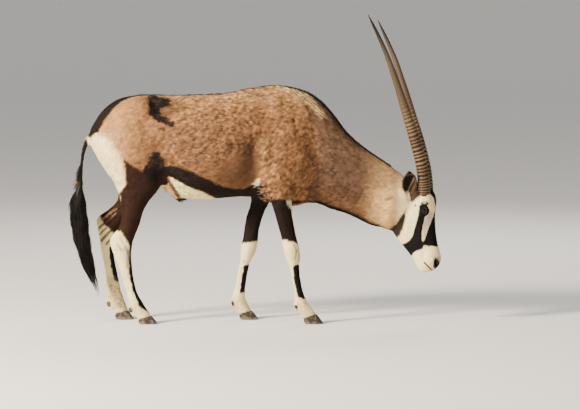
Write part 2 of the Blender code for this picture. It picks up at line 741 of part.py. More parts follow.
leg_middle = Vector((LEG_CUT_X, 0, LEG_CUT_HEIGHT))
leg_box = slab([leg_middle], Vector((0, 0, 1)), *LEG_CUT_REACH, CUT_GAP, "cut_legs")
pieces = split(trunk, leg_box)
pieces.sort(key=lambda piece: middle_of(piece).z)
trunk = pieces[-1]
legs = {}
for piece in pieces[:-1]:
    spot = middle_of(piece)
    side_name = "left" if spot.y > 0 else "right"
    end_name = "fore" if spot.x > -0.3 else "hind"
    legs[side_name + "_" + end_name] = piece
dock_box = cut_between(*DOCK_CUT, 0.0, *DOCK_REACH, 0.0, "cut_dock")
pieces = split(trunk, dock_box)
pieces.sort(key=lambda piece: middle_of(piece).x)
tail = pieces[0]
trunk = pieces[1]
tassel_box = cut_between(*TASSEL_CUT, 0.0, *TASSEL_REACH, 0.0, "cut_tassel")
pieces = split(tail, tassel_box)
pieces.sort(key=lambda piece: middle_of(piece).z)
tassel = pieces[0]
dock = pieces[1]

finish(trunk, "trunk", "trunk")
finish(neck, "neck", "neck")
finish(jaw, "jaw", "jaw")
finish(dock, "tail_dock", "tail")
finish(tassel, "tail_tassel", "tassel")

for foot in FEET:
    side_name, end_name = foot.split("_")
    front, rear, heel, toe, y = FEET[foot]
    upper_line, lower_line = LIMB_CUTS[foot]
    leg = legs[foot]
    cutter = cut_between(upper_line[0], upper_line[1], y, *KNEE_REACH, 0.0, "cut_" + foot + "_upper")
    pieces = split(leg, cutter)
    pieces.sort(key=lambda piece: middle_of(piece).z)
    upper = pieces[1]
    cutter = cut_between(lower_line[0], lower_line[1], y, *FETLOCK_REACH, 0.0, "cut_" + foot + "_lower")
    pieces = split(pieces[0], cutter)
    pieces.sort(key=lambda piece: middle_of(piece).z)
    cannon = pieces[1]
    pastern = pieces[0]
    subtract(pastern, box_below(front, rear, y, "cut_" + foot + "_coronet"))
    skin = grown_copy(pastern, CUT_GAP)
    for side in (-1, 1):
        name = foot + "_dewclaw_" + ("outer" if side * y > 0 else "inner")
        column, row = DEWCLAWS[foot]
        centre = place(column, row, y) + Vector((0, side * DEWCLAW_SIDE, 0))
        dewclaw = ball(name, centre, DEWCLAW_SIZE, 8, 5, DEWCLAW_TURN)
        subtract(dewclaw, skin, drop=False)
        finish(dewclaw, name, "dewclaw")
        name = foot + "_claw_" + ("outer" if side * y > 0 else "inner")
        claw = claw_solid(name, foot, side)
        finish(claw, name, "claw")
    bpy.data.objects.remove(skin, do_unlink=True)
    finish(upper, foot + ("_forearm" if end_name == "fore" else "_gaskin"),
           "forearm" if end_name == "fore" else "gaskin")
    finish(cannon, foot + "_cannon", "cannon")
    finish(pastern, foot + "_pastern", "pastern")

# Head furniture: each is trimmed where it enters the skull
for sign, side_name in ((-1, "right"), (1, "left")):
    centre = head_point(EYE_COLUMN, EYE_ROW, sign * EYE_SIDE)
    socket = ball("socket", centre, (EYE_RADIUS + CUT_GAP,) * 3, *EYE_SIDES)
    socket.display_type = "WIRE"
    socket.hide_render = True
    subtract(skull, socket)
    eye = ball("eye", centre, (EYE_RADIUS,) * 3, *EYE_SIDES)
    finish(eye, "eye_" + side_name, "eye")
skin = grown_copy(skull, EAR_GAP)
nape = grown_copy(neck, EAR_GAP)
for sign, side_name in ((-1, "right"), (1, "left")):
    horn = horn_solid("horn_" + side_name, sign)
    subtract(horn, skin, drop=False)
    horn = keep_largest(horn)
    finish(horn, "horn_" + side_name, "horn")
    ear = ear_solid("ear_" + side_name, sign)
    subtract(ear, skin, drop=False)
    subtract(ear, nape, drop=False)
    ear = keep_largest(ear)
    finish(ear, "ear_" + side_name, "ear")
bpy.data.objects.remove(skin, do_unlink=True)
bpy.data.objects.remove(nape, do_unlink=True)
finish(skull, "head", "head")
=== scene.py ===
import math

import bpy
import numpy as np
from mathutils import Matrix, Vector


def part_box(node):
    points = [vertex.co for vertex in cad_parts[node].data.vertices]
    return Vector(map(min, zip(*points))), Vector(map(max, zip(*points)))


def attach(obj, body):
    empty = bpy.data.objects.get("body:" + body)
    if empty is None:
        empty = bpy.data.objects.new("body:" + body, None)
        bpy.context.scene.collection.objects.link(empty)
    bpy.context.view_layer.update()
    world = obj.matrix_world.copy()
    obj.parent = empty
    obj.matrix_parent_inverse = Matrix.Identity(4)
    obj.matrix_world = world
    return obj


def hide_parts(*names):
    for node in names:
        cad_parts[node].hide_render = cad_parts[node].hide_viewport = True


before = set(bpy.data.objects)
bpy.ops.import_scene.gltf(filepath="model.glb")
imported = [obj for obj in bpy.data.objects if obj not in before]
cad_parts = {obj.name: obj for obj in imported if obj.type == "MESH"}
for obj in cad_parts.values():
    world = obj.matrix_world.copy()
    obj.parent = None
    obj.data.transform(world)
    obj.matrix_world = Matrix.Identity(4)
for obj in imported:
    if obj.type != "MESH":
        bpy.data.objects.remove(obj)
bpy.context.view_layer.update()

# ---------------------------------------------------------------- skin
# The whole hide without the tail's long hair: one closed surface over trunk, neck, head and legs.
# It is melted together from the flesh solids and drawn in by the depth of the coat, and muscles,
# hollows, folds and the face are modelled on it.
GRID = 0.005
MID_COLUMN = 254.0
FLOOR_ROW = 321.5
TILT = math.radians(4.0)
SKIN_VOXEL = 0.006
OVERLAP = 0.0006
MERGE_WITHIN = 0.00002
FLESH = [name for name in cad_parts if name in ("trunk", "neck", "head", "jaw", "tail_dock")
         or name.endswith(("_forearm", "_gaskin", "_cannon", "_pastern"))]
EYE_NODES = ["eye_right", "eye_left"]


def picked(obj):
    """Make one object the only selected and the active one."""
    bpy.ops.object.select_all(action="DESELECT")
    obj.select_set(True)
    bpy.context.view_layer.objects.active = obj


def applied(obj, kind, **settings):
    """Add a modifier to an object and apply it."""
    picked(obj)
    modifier = obj.modifiers.new(kind.title(), kind)
    for key, value in settings.items():
        setattr(modifier, key, value)
    bpy.ops.object.modifier_apply(modifier=modifier.name)


def joined(pieces):
    """Join all pieces into the first one."""
    picked(pieces[0])
    for piece in pieces:
        piece.select_set(True)
    bpy.ops.object.join()
    return pieces[0]


def new_object(name, mesh):
    made = bpy.data.objects.new(name, mesh)
    bpy.context.scene.collection.objects.link(made)
    return made


def faces_outward(obj, merge_within=0.0):
    """Turn the faces of a closed mesh outwards, once corners this near each other are merged."""
    picked(obj)
    bpy.ops.object.mode_set(mode="EDIT")
    bpy.ops.mesh.select_all(action="SELECT")
    if merge_within:
        bpy.ops.mesh.remove_doubles(threshold=merge_within)
    bpy.ops.mesh.normals_make_consistent(inside=False)
    bpy.ops.object.mode_set(mode="OBJECT")


def node_copy(name):
    """Object with a merged copy of a solid's mesh."""
    made = new_object("copy_" + name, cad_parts[name].data.copy())
    faces_outward(made, MERGE_WITHIN)
    made.data.materials.clear()
    return made


def points_of(mesh, kind="co"):
    """Place of each corner of a mesh, one to a row."""
    flat = np.empty(len(mesh.vertices) * 3, dtype=np.float32)
    mesh.vertices.foreach_get(kind, flat)
    return flat.reshape(-1, 3).astype(float)


def normals_of(mesh):
    """Way that the surface faces at each corner."""
    return points_of(mesh, "normal")


def put_points(mesh, points):
    mesh.vertices.foreach_set("co", points.astype(np.float32).ravel())
    mesh.update()


def unit(vectors):
    return vectors / np.maximum(np.linalg.norm(vectors, axis=-1, keepdims=True), 1e-12)


def ramp(values, low, high):
    """Smooth step from 0 at low to 1 at high."""
    t = np.clip((values - low) / (high - low), 0.0, 1.0)
    return t * t * (3.0 - 2.0 * t)


def smoothed(mesh, points, weight, steps):
    """Points drawn towards their neighbours by each of the steps in turn."""
    count = len(points)
    pairs = np.empty(len(mesh.edges) * 2, dtype=np.int32)
    mesh.edges.foreach_get("vertices", pairs)
    a, b = pairs[0::2], pairs[1::2]
    degree = np.bincount(pairs, minlength=count).astype(float)
    for step in steps:
        total = np.empty_like(points)
        for k in range(3):
            total[:, k] = np.bincount(a, points[b, k], count) + np.bincount(b, points[a, k], count)
        points = points + (total / degree[:, None] - points) * (np.reshape(weight, (-1, 1)) * step)
    return points


def drawn(x, y, z):
    """Column and row of a side drawing on steps of GRID, from the right and TILT above."""
    lift = z * math.cos(TILT) + y * math.sin(TILT)
    return x / GRID + MID_COLUMN, FLOOR_ROW - lift / GRID


def side_grid(points):
    """Place in the side drawing. Both sides of the animal are read as its right side."""
    x, y, z = points.T
    return drawn(x, -np.abs(y), z)


def true_grid(points):
    """Place in the side drawing, for limbs that stand differently left and right."""
    return drawn(*points.T)


eye_middles = {}
for name in EYE_NODES:
    low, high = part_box(name)
    eye_middles[name] = np.array((low + high) / 2)
EYE_RADIUS = (high.z - low.z) / 2
head_side = unit(eye_middles["eye_left"] - eye_middles["eye_right"])
head_side[2] = 0.0
head_side = unit(head_side)
head_fore = np.array((head_side[1], -head_side[0], 0.0))
eye_middle = (eye_middles["eye_left"] + eye_middles["eye_right"]) / 2
POLL_COLUMN = 402.0
POLL_ROW = 162.0
POLL_SLANT = 0.2


def head_frame(points):
    """Distances forward of the eyes, to the head's left, and height, in the head's own frame."""
    d = points - eye_middle
    return d @ head_fore, d @ head_side, points[:, 2]


def face_grid(points):
    """Place in the side drawing of a point of the face, as if on the right, and its way left."""
    fore, side, up = head_frame(points)
    flat = [eye_middle[k] + fore * head_fore[k] - np.abs(side) * head_side[k] for k in (0, 1)]
    return (*drawn(*flat, up), side)


def head_weight(points):
    """1 on the head, 0 behind the jaw and the poll."""
    column, row = side_grid(points)
    return ramp(column - POLL_COLUMN + (row - POLL_ROW) * POLL_SLANT, -7.0, 6.0)


copies = [node_copy(name) for name in FLESH + EYE_NODES]
for made in copies:
    applied(made, "DISPLACE", strength=OVERLAP, mid_level=0.0)
skin = joined(copies)
skin.name = "skin"
skin.data.name = "skin"
applied(skin, "REMESH", mode="VOXEL", voxel_size=SKIN_VOXEL, adaptivity=0.0)

# Facets of the solids are evened out: strongly on the trunk, little on head and feet. A step in
# and a step out again keep the thickness.
EVEN_STEPS = [0.6] * 34
LAST_STEPS = [0.4] * 3
IN_AND_OUT = [0.5, -0.51]
points = points_of(skin.data)
x, y, z = points.T
trunk_share = ramp(z, 0.50, 0.62) * ramp(0.66 - x, 0.0, 0.12) * ramp(x, -0.83, -0.78)
points = smoothed(skin.data, points, trunk_share, EVEN_STEPS)
points = smoothed(skin.data, points, 1.0 - 0.5 * trunk_share, IN_AND_OUT * 12)
put_points(skin.data, smoothed(skin.data, points, 1.0, LAST_STEPS))

# Finer mesh on the head, finest round eyes, nostrils and mouth
MUZZLE_POINT = (433.0, 262.0)
MUZZLE_REACH = 13.0
EYE_REACH = 0.042


def refine(obj, wanted):
    """Cut the faces whose middles are wanted into four."""
    mesh = obj.data
    middles = np.empty(len(mesh.polygons) * 3, dtype=np.float32)
    mesh.polygons.foreach_get("center", middles)
    chosen = wanted(middles.reshape(-1, 3).astype(float))
    mesh.vertices.foreach_set("select", np.zeros(len(mesh.vertices), dtype=bool))
    mesh.edges.foreach_set("select", np.zeros(len(mesh.edges), dtype=bool))
    mesh.polygons.foreach_set("select", chosen)
    picked(obj)
    bpy.ops.object.mode_set(mode="EDIT")
    bpy.ops.mesh.select_mode(type="FACE")
    bpy.ops.mesh.subdivide(number_cuts=1, smoothness=0.0)
    bpy.ops.object.mode_set(mode="OBJECT")


def near_features(points):
    """Whether points of the head are on the muzzle or near an eye."""
    column, row, side = face_grid(points)
    near = np.hypot(column - MUZZLE_POINT[0], row - MUZZLE_POINT[1]) < MUZZLE_REACH
    for middle in eye_middles.values():
        near |= np.linalg.norm(points - middle, axis=1) < EYE_REACH
    return near & (head_weight(points) > 0.5)


refine(skin, lambda middles: head_weight(middles) > 0.05)
points = points_of(skin.data)
put_points(skin.data, smoothed(skin.data, points, head_weight(points), IN_AND_OUT * 6))
refine(skin, near_features)

# Relief: each line runs from one point of the side drawing to another, with its spread in columns
# and how far the skin rises (or sinks) along it, in metres. The trunk has the same left and right.
TRUNK_RELIEF = [
    (146.0, 104.0, 148.0, 110.0, 4.5, 0.017),    # point of the hip
    (156.0, 103.0, 174.0, 103.0, 5.0, -0.019),   # hollow under the loin
    (162.0, 112.0, 166.0, 120.0, 6.0, -0.010),   # flank hollow
    (170.0, 138.0, 166.0, 158.0, 8.0, -0.004),   # edge of the flank
    (150.0, 98.0, 235.0, 96.5, 2.6, -0.003),     # beside the backbone
    (118.0, 116.0, 112.0, 132.0, 8.0, 0.005),    # rump
    (132.0, 128.0, 136.0, 158.0, 9.0, 0.007),    # thigh
    (104.0, 140.0, 113.0, 168.0, 2.6, -0.004),   # groove in front of the buttock
    (146.0, 122.0, 154.0, 150.0, 3.2, -0.005),   # front edge of the thigh
    (157.0, 158.0, 155.0, 176.0, 5.0, 0.006),    # stifle
    (184.0, 110.0, 178.0, 158.0, 3.0, 0.003),    # last rib
    (206.0, 150.0, 232.0, 172.0, 14.0, 0.004),   # belly side
    (255.0, 142.0, 254.0, 180.0, 5.5, -0.012),   # hollow behind the elbow
    (266.0, 146.0, 266.0, 182.0, 3.4, 0.011),    # rear edge of the upper arm
    (257.0, 148.0, 252.0, 178.0, 4.0, -0.007),   # hollow behind it
    (278.0, 146.0, 282.0, 176.0, 9.0, 0.005),    # upper arm
    (276.0, 92.0, 290.0, 132.0, 5.0, 0.004),     # shoulder blade
    (268.0, 96.0, 266.0, 128.0, 5.0, -0.004),
    (297.0, 112.0, 300.0, 138.0, 4.0, -0.003),
    (305.0, 160.0, 306.0, 174.0, 6.0, 0.009),    # point of the shoulder
    (316.0, 118.0, 319.0, 176.0, 5.5, -0.010),   # groove before the shoulder
    (330.0, 192.0, 384.0, 217.0, 3.0, -0.004),   # groove over the windpipe
    (335.0, 150.0, 392.0, 196.0, 7.0, 0.003),    # neck muscle
    (262.0, 186.0, 264.0, 192.0, 3.2, 0.005),    # elbow
    (165.0, 168.0, 176.0, 176.0, 1.6, 0.0035),   # fold from the flank to the stifle
    (163.0, 172.0, 172.0, 178.5, 1.2, -0.0035),
    (256.0, 187.0, 262.0, 196.0, 1.3, -0.0040),  # folds behind the elbow
    (251.0, 185.0, 255.0, 192.0, 1.3, -0.0030),
    (344.0, 200.0, 352.0, 186.0, 1.6, -0.0028),  # throat folds
    (356.0, 207.0, 364.0, 192.0, 1.6, -0.0028),
    (368.0, 214.0, 375.0, 199.0, 1.6, -0.0028),
]
# Muscle edges, grooves beside the tendons, knees, hocks and fetlocks of each side's legs
RIGHT_LEG_RELIEF = [
    (284.0, 204.0, 291.0, 234.0, 2.2, -0.003),
    (291.5, 249.0, 293.0, 254.0, 3.6, 0.002),
    (297.0, 258.0, 299.0, 263.0, 1.6, -0.002),
    (291.6, 267.0, 297.2, 292.0, 1.0, -0.0035),
    (289.6, 268.0, 293.0, 288.0, 0.9, 0.0015),
    (303.0, 303.0, 306.0, 312.0, 1.8, 0.0015),
    (122.5, 200.0, 117.5, 232.0, 1.6, -0.0050),
    (131.0, 204.0, 128.0, 230.0, 3.0, 0.003),
    (119.0, 246.0, 127.0, 246.0, 3.0, 0.0025),
    (117.0, 251.0, 118.5, 257.0, 1.4, -0.002),
    (121.0, 260.0, 130.6, 291.0, 1.0, -0.0035),
    (118.6, 262.0, 126.5, 287.0, 0.9, 0.0015),
]
LEFT_LEG_RELIEF = [
    (256.0, 204.0, 249.5, 234.0, 2.2, -0.003),
    (249.0, 247.0, 248.0, 252.0, 3.6, 0.002),
    (242.4, 264.0, 237.8, 290.0, 1.0, -0.0035),
    (240.0, 266.0, 235.5, 288.0, 0.9, 0.0015),
    (114.0, 204.0, 99.5, 219.0, 1.6, -0.0050),
    (122.0, 212.0, 110.0, 228.0, 3.0, 0.003),
    (101.5, 230.0, 106.0, 237.0, 2.4, 0.002),
    (104.5, 248.0, 109.5, 288.0, 1.0, -0.0035),
    (101.8, 250.0, 106.5, 286.0, 0.9, 0.0015),
    (100.0, 218.6, 116.0, 207.0, 1.3, 0.0045),
    (103.5, 226.0, 115.0, 214.5, 0.8, 0.0035),
    (101.5, 231.5, 108.0, 224.0, 0.7, -0.0030),
    (103.5, 234.5, 109.0, 228.0, 0.6, -0.0025),
]
LEG_SWELLS = [
    # right or left leg, point of the drawing, spread, rise
    (-1, 292.5, 252.0, 5.0, 0.0030), (1, 247.5, 250.0, 5.0, 0.0030),     # knees
    (-1, 299.0, 299.5, 3.6, 0.0045), (1, 237.6, 297.5, 3.6, 0.0045),     # fore fetlocks
    (-1, 137.5, 301.5, 3.6, 0.0045), (1, 116.8, 297.0, 3.6, 0.0045),     # hind fetlocks
    (-1, 115.5, 237.0, 4.0, 0.0030), (1, 99.5, 219.0, 4.0, 0.0030),      # points of the hocks
]
NOSE_SWELL = (439.0, 256.0, 7.0, 0.0075)
FACE_RELIEF = [
    (417.0, 202.5, 428.0, 203.0, 1.5, 0.0030),   # brow
    (411.0, 199.0, 413.0, 204.0, 3.0, -0.0030),  # temple
    (408.0, 211.0, 419.5, 219.5, 1.4, 0.0022),   # cheek bone
    (425.0, 224.0, 428.0, 244.0, 2.4, -0.0030),  # hollow beside the nose
    (420.5, 222.0, 419.0, 240.0, 1.5, 0.0016),
    (401.0, 218.0, 405.0, 232.0, 5.0, 0.0035),   # chewing muscle
    (410.5, 224.0, 413.0, 240.0, 1.7, -0.0020),
    (396.0, 233.0, 412.0, 254.0, 1.8, 0.0020),   # lower edge of the jaw
    (392.0, 214.0, 389.0, 224.0, 2.0, -0.0030),  # behind the jaw
    (429.0, 255.0, 431.0, 261.0, 3.4, 0.0028),   # upper lip
    (424.0, 250.0, 423.0, 258.0, 1.8, -0.0016),
    (422.5, 260.5, 424.0, 263.5, 1.0, -0.0022),  # corner of the mouth
    (425.5, 262.2, 432.5, 268.2, 0.9, 0.0016),
    (423.5, 266.0, 430.0, 272.0, 1.1, 0.0016),
    (424.2, 262.8, 434.0, 272.6, 0.38, -0.0075),  # mouth
    (432.2, 259.6, 432.8, 267.5, 0.8, 0.0030),   # rim of the nostril
    (434.8, 261.0, 436.6, 267.0, 0.95, -0.0135),  # nostril
]


def line_distance(column, row, line):
    """Distance in columns from points of the drawing to a straight line between two points."""
    ax, ay, bx, by = line
    wide, high = bx - ax, by - ay
    t = ((column - ax) * wide + (row - ay) * high) / (wide * wide + high * high)
    t = np.clip(t, 0.0, 1.0)
    return np.hypot(column - ax - t * wide, row - ay - t * high)


def relief(column, row, lines):
    """Rise of the skin over the lines of a table."""
    rise = np.zeros(len(column))
    for line in lines:
        away = line_distance(column, row, line[:4]) / line[4]
        rise += line[5] * np.exp(-0.5 * away * away)
    return rise


def mound(column, row, middle_column, middle_row, spread, rise):
    """Round rise of the skin about one point of the drawing."""
    away = np.hypot(column - middle_column, row - middle_row) / spread
    return rise * np.exp(-0.5 * away * away)


CLOUD_SEED = 7
CLOUD_CELLS = 32
lattice = np.random.RandomState(CLOUD_SEED).rand(4, CLOUD_CELLS, CLOUD_CELLS, CLOUD_CELLS)


def cloud(points, size, kind=0):
    """Soft random values from 0 to 1 that vary over the given size, of four kinds."""
    p = points / size
    low = np.floor(p).astype(int)
    t = p - low
    t = t * t * (3.0 - 2.0 * t)
    value = np.zeros(len(points))
    for step in np.ndindex(2, 2, 2):
        share = np.where(step, t, 1 - t)
        i, j, k = ((low + step) % CLOUD_CELLS).T
        value += share[:, 0] * share[:, 1] * share[:, 2] * lattice[kind, i, j, k]
    return value


BACK_LINE = ([90, 130, 207, 272, 310, 345, 400], [130, 95, 94, 84, 93, 131, 172])
COAT_DEPTH = 0.0045
FACE_DEPTH = 0.0018
LEG_DEPTH = 0.0016


def under_back(column, row):
    """How many rows a place in the drawing is under the line of the back."""
    return row - np.interp(column, *BACK_LINE)


def leg_weight(points):
    """1 on the free part of the legs, 0 on the trunk, which starts above elbow and stifle."""
    return ramp(0.585 - points[:, 2], -0.03, 0.05) * ramp(0.35 - points[:, 0], 0.0, 0.05)


def roughness(points):
    """How staring the coat is: most on flank and shoulder, not on face, belly and shins."""
    column, row = side_grid(points)
    rough = 0.45 + 0.55 * ramp(column, 150.0, 175.0) * ramp(320.0 - column, 0.0, 30.0)
    smooth_side = ramp(row, 150.0, 168.0) * ramp(column, 185.0, 205.0) * ramp(264.0 - column, 0.0, 6.0)
    rough *= (1.0 - 0.75 * smooth_side) * (1.0 - head_weight(points)) * (1.0 - leg_weight(points))
    rough *= 1.0 - 0.7 * ramp(column, 330.0, 350.0)
    rough *= 1.0 - 0.6 * ramp(112.0 - column, 0.0, 14.0) * ramp(row, 128.0, 140.0)
    return rough * ramp(under_back(column, row), -4.0, 3.0)


def coat_depth(points):
    """How far the skin lies inside the coat tips."""
    depth = COAT_DEPTH + (FACE_DEPTH - COAT_DEPTH) * head_weight(points)
    shin = ramp(0.46 - points[:, 2], 0.0, 0.12) * leg_weight(points)
    return depth + (LEG_DEPTH - depth) * shin


PEBBLE_SIZES = ((0.0150, 0, 0.0060), (0.030, 2, 0.0050))
points = points_of(skin.data)
normals = normals_of(skin.data)
x, y, z = points.T
facing = normals[:, 1]
on_head = head_weight(points)
on_leg = leg_weight(points)
rise = relief(*side_grid(points), TRUNK_RELIEF) * (1 - on_head) * (1 - on_leg)
rise *= ramp(facing * np.sign(y), 0.05, 0.6)
leg_column, leg_row = true_grid(points)
sideways = ramp(np.abs(facing), 0.1, 0.7) * ramp(0.62 - z, 0.0, 0.05) * (1 - on_head)
for lines, side in ((RIGHT_LEG_RELIEF, -1), (LEFT_LEG_RELIEF, 1)):
    rise += relief(leg_column, leg_row, lines) * (np.sign(y) == side) * sideways
for side, *swell in LEG_SWELLS:
    rise += mound(leg_column, leg_row, *swell) * (np.sign(y) == side) * on_leg
rough = roughness(points)
for size, kind, height in PEBBLE_SIZES:
    rise += (cloud(points, size, kind) - 0.5) * height * rough
face_column, face_row, face_side = face_grid(points)
face_rise = relief(face_column, face_row, FACE_RELIEF) * ramp(np.abs(face_side), 0.006, 0.018)
rise += (face_rise + mound(face_column, face_row, *NOSE_SWELL)) * on_head
points = points + normals * (rise - coat_depth(points))[:, None]

# Lids: the skin hugs the ball of the eye and leaves an almond open, in which it drops behind it.
# Outside the lids a crease runs round them.
LID_LENGTH = 0.0165
LID_HEIGHT = 0.0105
LID_THICKNESS = 0.0014
LID_SWELL = 0.0012
LID_CREASE = 0.0011
BEHIND_LIDS = 0.003
PULLED_WITHIN = 0.009
PULLED_TO = 0.022
EYE_AHEAD = 0.36
EYE_ASIDE = 0.93
EYE_UP = 0.08


def lid_place(points, middle, out, corner, brow):
    """How far and which way points are from an eye, and a measure that is 1 on its lids' edge."""
    far = np.linalg.norm(points - middle, axis=1)
    ray = (points - middle) / np.maximum(far, 1e-6)[:, None]
    along = ray @ corner * EYE_RADIUS / LID_LENGTH
    return far, ray, np.sqrt(along ** 2 + np.abs(ray @ brow) * EYE_RADIUS / LID_HEIGHT)


eye_axes = {}
for name, middle in eye_middles.items():
    sign = -1.0 if name == "eye_right" else 1.0
    out = unit(sign * EYE_ASIDE * head_side + EYE_AHEAD * head_fore + np.array((0, 0, EYE_UP)))
    corner = 0.20 * head_fore + np.array((0, 0, -0.98))
    corner = unit(corner - out * (corner @ out))
    brow = np.cross(out, corner) * sign
    eye_axes[name] = (middle, out, corner, brow)
    far, ray, almond = lid_place(points, middle, out, corner, brow)
    hug = EYE_RADIUS + LID_THICKNESS + LID_SWELL * ramp(almond, 1.0, 1.5)
    hug -= LID_CREASE * np.exp(-0.5 * ((almond - 1.62) / 0.10) ** 2)
    radius = np.where(almond < 1.0, EYE_RADIUS - BEHIND_LIDS, hug)
    share = ramp(ray @ out, -0.05, 0.25) * (1.0 - ramp(almond, 1.35, 2.2))
    share *= 1.0 - ramp(far, EYE_RADIUS + PULLED_WITHIN, EYE_RADIUS + PULLED_TO)
    near_ball = (far < EYE_RADIUS + PULLED_WITHIN) & (almond < 1.0) & (ray @ out > 0.2)
    points = points + ray * ((radius - far) * np.where(near_ball, 1.0, share))[:, None]
put_points(skin.data, points)

# Markings, and some painted light and shade: outlines in the side drawing or on the face, filled with
# the colours of the coat, and lines given by two points and half a width. Skin and tufts are both coloured by
# coat_colour().
FAWN = (128, 89, 57)
BACK_FAWN = (152, 114, 74)
RUMP_FAWN = (168, 124, 78)
FLANK_FAWN = (108, 75, 49)
NECK_SHADE_FAWN = (78, 58, 46)
THROAT_SHADE_TAN = (106, 70, 43)
CREAM = (246, 222, 166)
WHITE = (250, 228, 172)
BELLY_WHITE = (248, 224, 162)
GREY_WHITE = (196, 182, 166)
BLACK = (17, 14, 13)
BROWN_BLACK = (27, 18, 13)
DARK_BROWN = (42, 24, 15)
WEDGE_BROWN = (40, 33, 25)
MOUTH_SHADE = (40, 28, 23)
NOSE_SKIN = (104, 94, 86)
NOSE_BLACK = (50, 43, 40)
NOSTRIL_SHADE = (9, 7, 7)
SHEATH_SHADE = (100, 64, 40)
SHEATH_PALE = (226, 188, 134)
TENDON_HIGHLIGHT_TAN = (134, 108, 78)
HOCK_GREY = (132, 112, 94)
FETLOCK_BROWN = (112, 88, 62)
SIDE_SHADE = (96, 66, 45)
ARM_HIGHLIGHT = (188, 138, 92)
PALE_NECK = (232, 186, 122)
TUFT_WHITE = (222, 208, 180)
BROW_AND_SHADE_BROWN = (66, 47, 36)

RUMP_PATCH = [(153, 92), (141, 94.5), (130, 98.5), (120, 105), (113, 112.5), (106, 122), (99, 130.5),
              (91.5, 136), (84, 134), (86, 110), (110, 84), (153, 84)]
BUTTOCK = [(80, 128), (91.5, 134.5), (100, 132), (108.5, 136.5), (115, 144), (121.5, 155.5), (126, 165.5),
           (128.5, 176), (129, 187), (123, 192), (119.5, 205), (110, 205), (80, 150)]
THIGH_PATCH = [(126, 158), (133, 163.5), (140, 168.5), (147, 171), (153, 166), (172, 170), (168, 192),
               (160, 215), (140, 248), (131, 247.5), (129, 243), (125, 236.5), (121, 231), (112, 226),
               (112, 195), (119.5, 191.5), (123, 189.5), (128.5, 184), (128, 170), (125.5, 163)]
STIFLE_BLOB = [(149.5, 161), (151, 155), (157, 152.5), (164, 154.0), (167.4, 159.5), (167.6, 168),
               (164, 176), (160, 181), (154, 181), (149.5, 177), (146.5, 169.5)]
STIFLE_SHADE = [(150, 157), (152, 144), (157, 139), (161, 146), (163, 157), (166, 170), (154, 172)]
HIP_MARK = [(148.2, 114.5), (151.5, 110), (150.2, 104), (150.0, 97), (154, 95.0), (161, 97.5),
            (173.5, 100.5), (172.0, 105.6), (166, 108.5), (161.5, 110.5), (164.5, 115.5), (171, 119.0),
            (177.5, 124.0), (177, 128.5), (170, 125.5), (160, 121.8), (154, 118.0)]
HIP_SHADE = [(160, 98), (176, 100), (188, 104), (190, 109), (178, 112), (172, 120), (162, 114)]
FLANK_STRIPE = [(163, 169), (167, 166.5), (173, 165), (185, 169), (195, 172.5), (205, 177), (215, 182),
                (225, 186.5), (235, 188.7), (245, 188), (253, 184.5), (259, 183), (262, 192), (266, 198),
                (262, 212), (240, 212), (229, 206), (220, 199.0), (213, 195.8), (205, 191.5), (195, 188.5),
                (185, 184), (175, 178.3), (164, 175.5)]
BELLY = [(150, 190), (156, 181), (163, 175.5), (175, 178.3), (185, 184), (195, 188.5), (205, 191.5),
         (213, 195.8), (220, 199.0), (229, 206), (232, 215), (150, 215)]
SHEATH = [(152, 198), (155.5, 184), (159, 179), (164, 176.5), (168.5, 177), (170.5, 182), (174, 189),
          (179.5, 194.5), (185, 197.5), (187, 208), (174, 208), (166, 197), (160, 193), (156, 199)]
SHEATH_TIP = [(175, 198.2), (179, 199.6), (183.5, 200.4), (187, 208), (174, 208)]
WORN_PATCH = [(110, 131), (117, 129.5), (122, 136), (119, 143.5), (112, 142), (108.5, 136)]
SHADED_SIDE = [(219, 178), (226, 168), (236, 157), (248, 146), (257, 143), (261.5, 150), (261, 176),
              (254, 183), (245, 186), (230, 184)]
CLUMP_SHADOW_AREA = [(184, 112), (215, 104), (250, 100), (262, 125), (256, 146), (240, 152), (224, 166), (204, 167),
             (191, 156), (183, 138)]
LIT_ARM_EDGE = [(263.5, 140), (270, 138), (276, 150), (276, 170), (272, 182), (265, 184), (262.5, 176),
            (263.2, 155)]
ELBOW_TUFT = [(254.5, 183.5), (256.5, 180), (260.5, 178.6), (261.8, 181.5), (259.5, 185), (256, 186.8)]
ELBOW_FLECKS = [(257, 186), (264, 184), (272, 190), (277, 200), (268, 205), (262, 199)]
ARM_WHITE = [(286.2, 199.8), (291.0, 198.6), (293.0, 206.0), (290.8, 207.5), (287.4, 204)]
NECK_AREA = [(292, 80), (303, 100), (314, 125), (320, 150), (319, 170), (309, 188), (306, 215), (430, 270),
             (430, 150), (345, 110), (312, 75)]
THROAT_LINE = [(310, 200), (320, 200.5), (330, 204), (345, 208.8), (360, 213.6), (372, 219.5),
               (380, 223.5), (386, 226.5), (389, 232), (372, 236), (330, 222), (306, 212)]
RIGHT_FORE_WHITE = [(262, 238), (281, 239), (290, 240.5), (299, 243.5), (320, 246), (330, 340), (270, 340)]
RIGHT_HIND_WHITE = [(95, 236), (108, 229.5), (118, 229.5), (121.5, 231.5), (126, 236.5), (129, 242.5),
                    (131.5, 247.5), (140, 249), (170, 340), (100, 340)]
LEFT_HIND_WHITE = [(80, 212), (98.5, 213.5), (101, 220), (107, 226.5), (113, 232.5), (124, 239),
                   (128, 250), (140, 340), (80, 340)]
LEFT_FORE_WHITE = [(225, 245), (241, 243), (250, 241.5), (258, 240.5), (270, 240), (270, 340), (215, 340)]
RIGHT_CANNON_BLACK = [(293.4, 266.5), (296, 264.0), (301, 264.5), (308, 268), (310, 297), (304, 297.8),
                      (297.6, 295.5), (295.8, 288), (294.2, 280), (293.2, 272)]
LEFT_CANNON_BLACK = [(243.4, 264.8), (252, 263), (252, 292.5), (239.4, 292.8), (240.0, 285), (241.4, 276)]
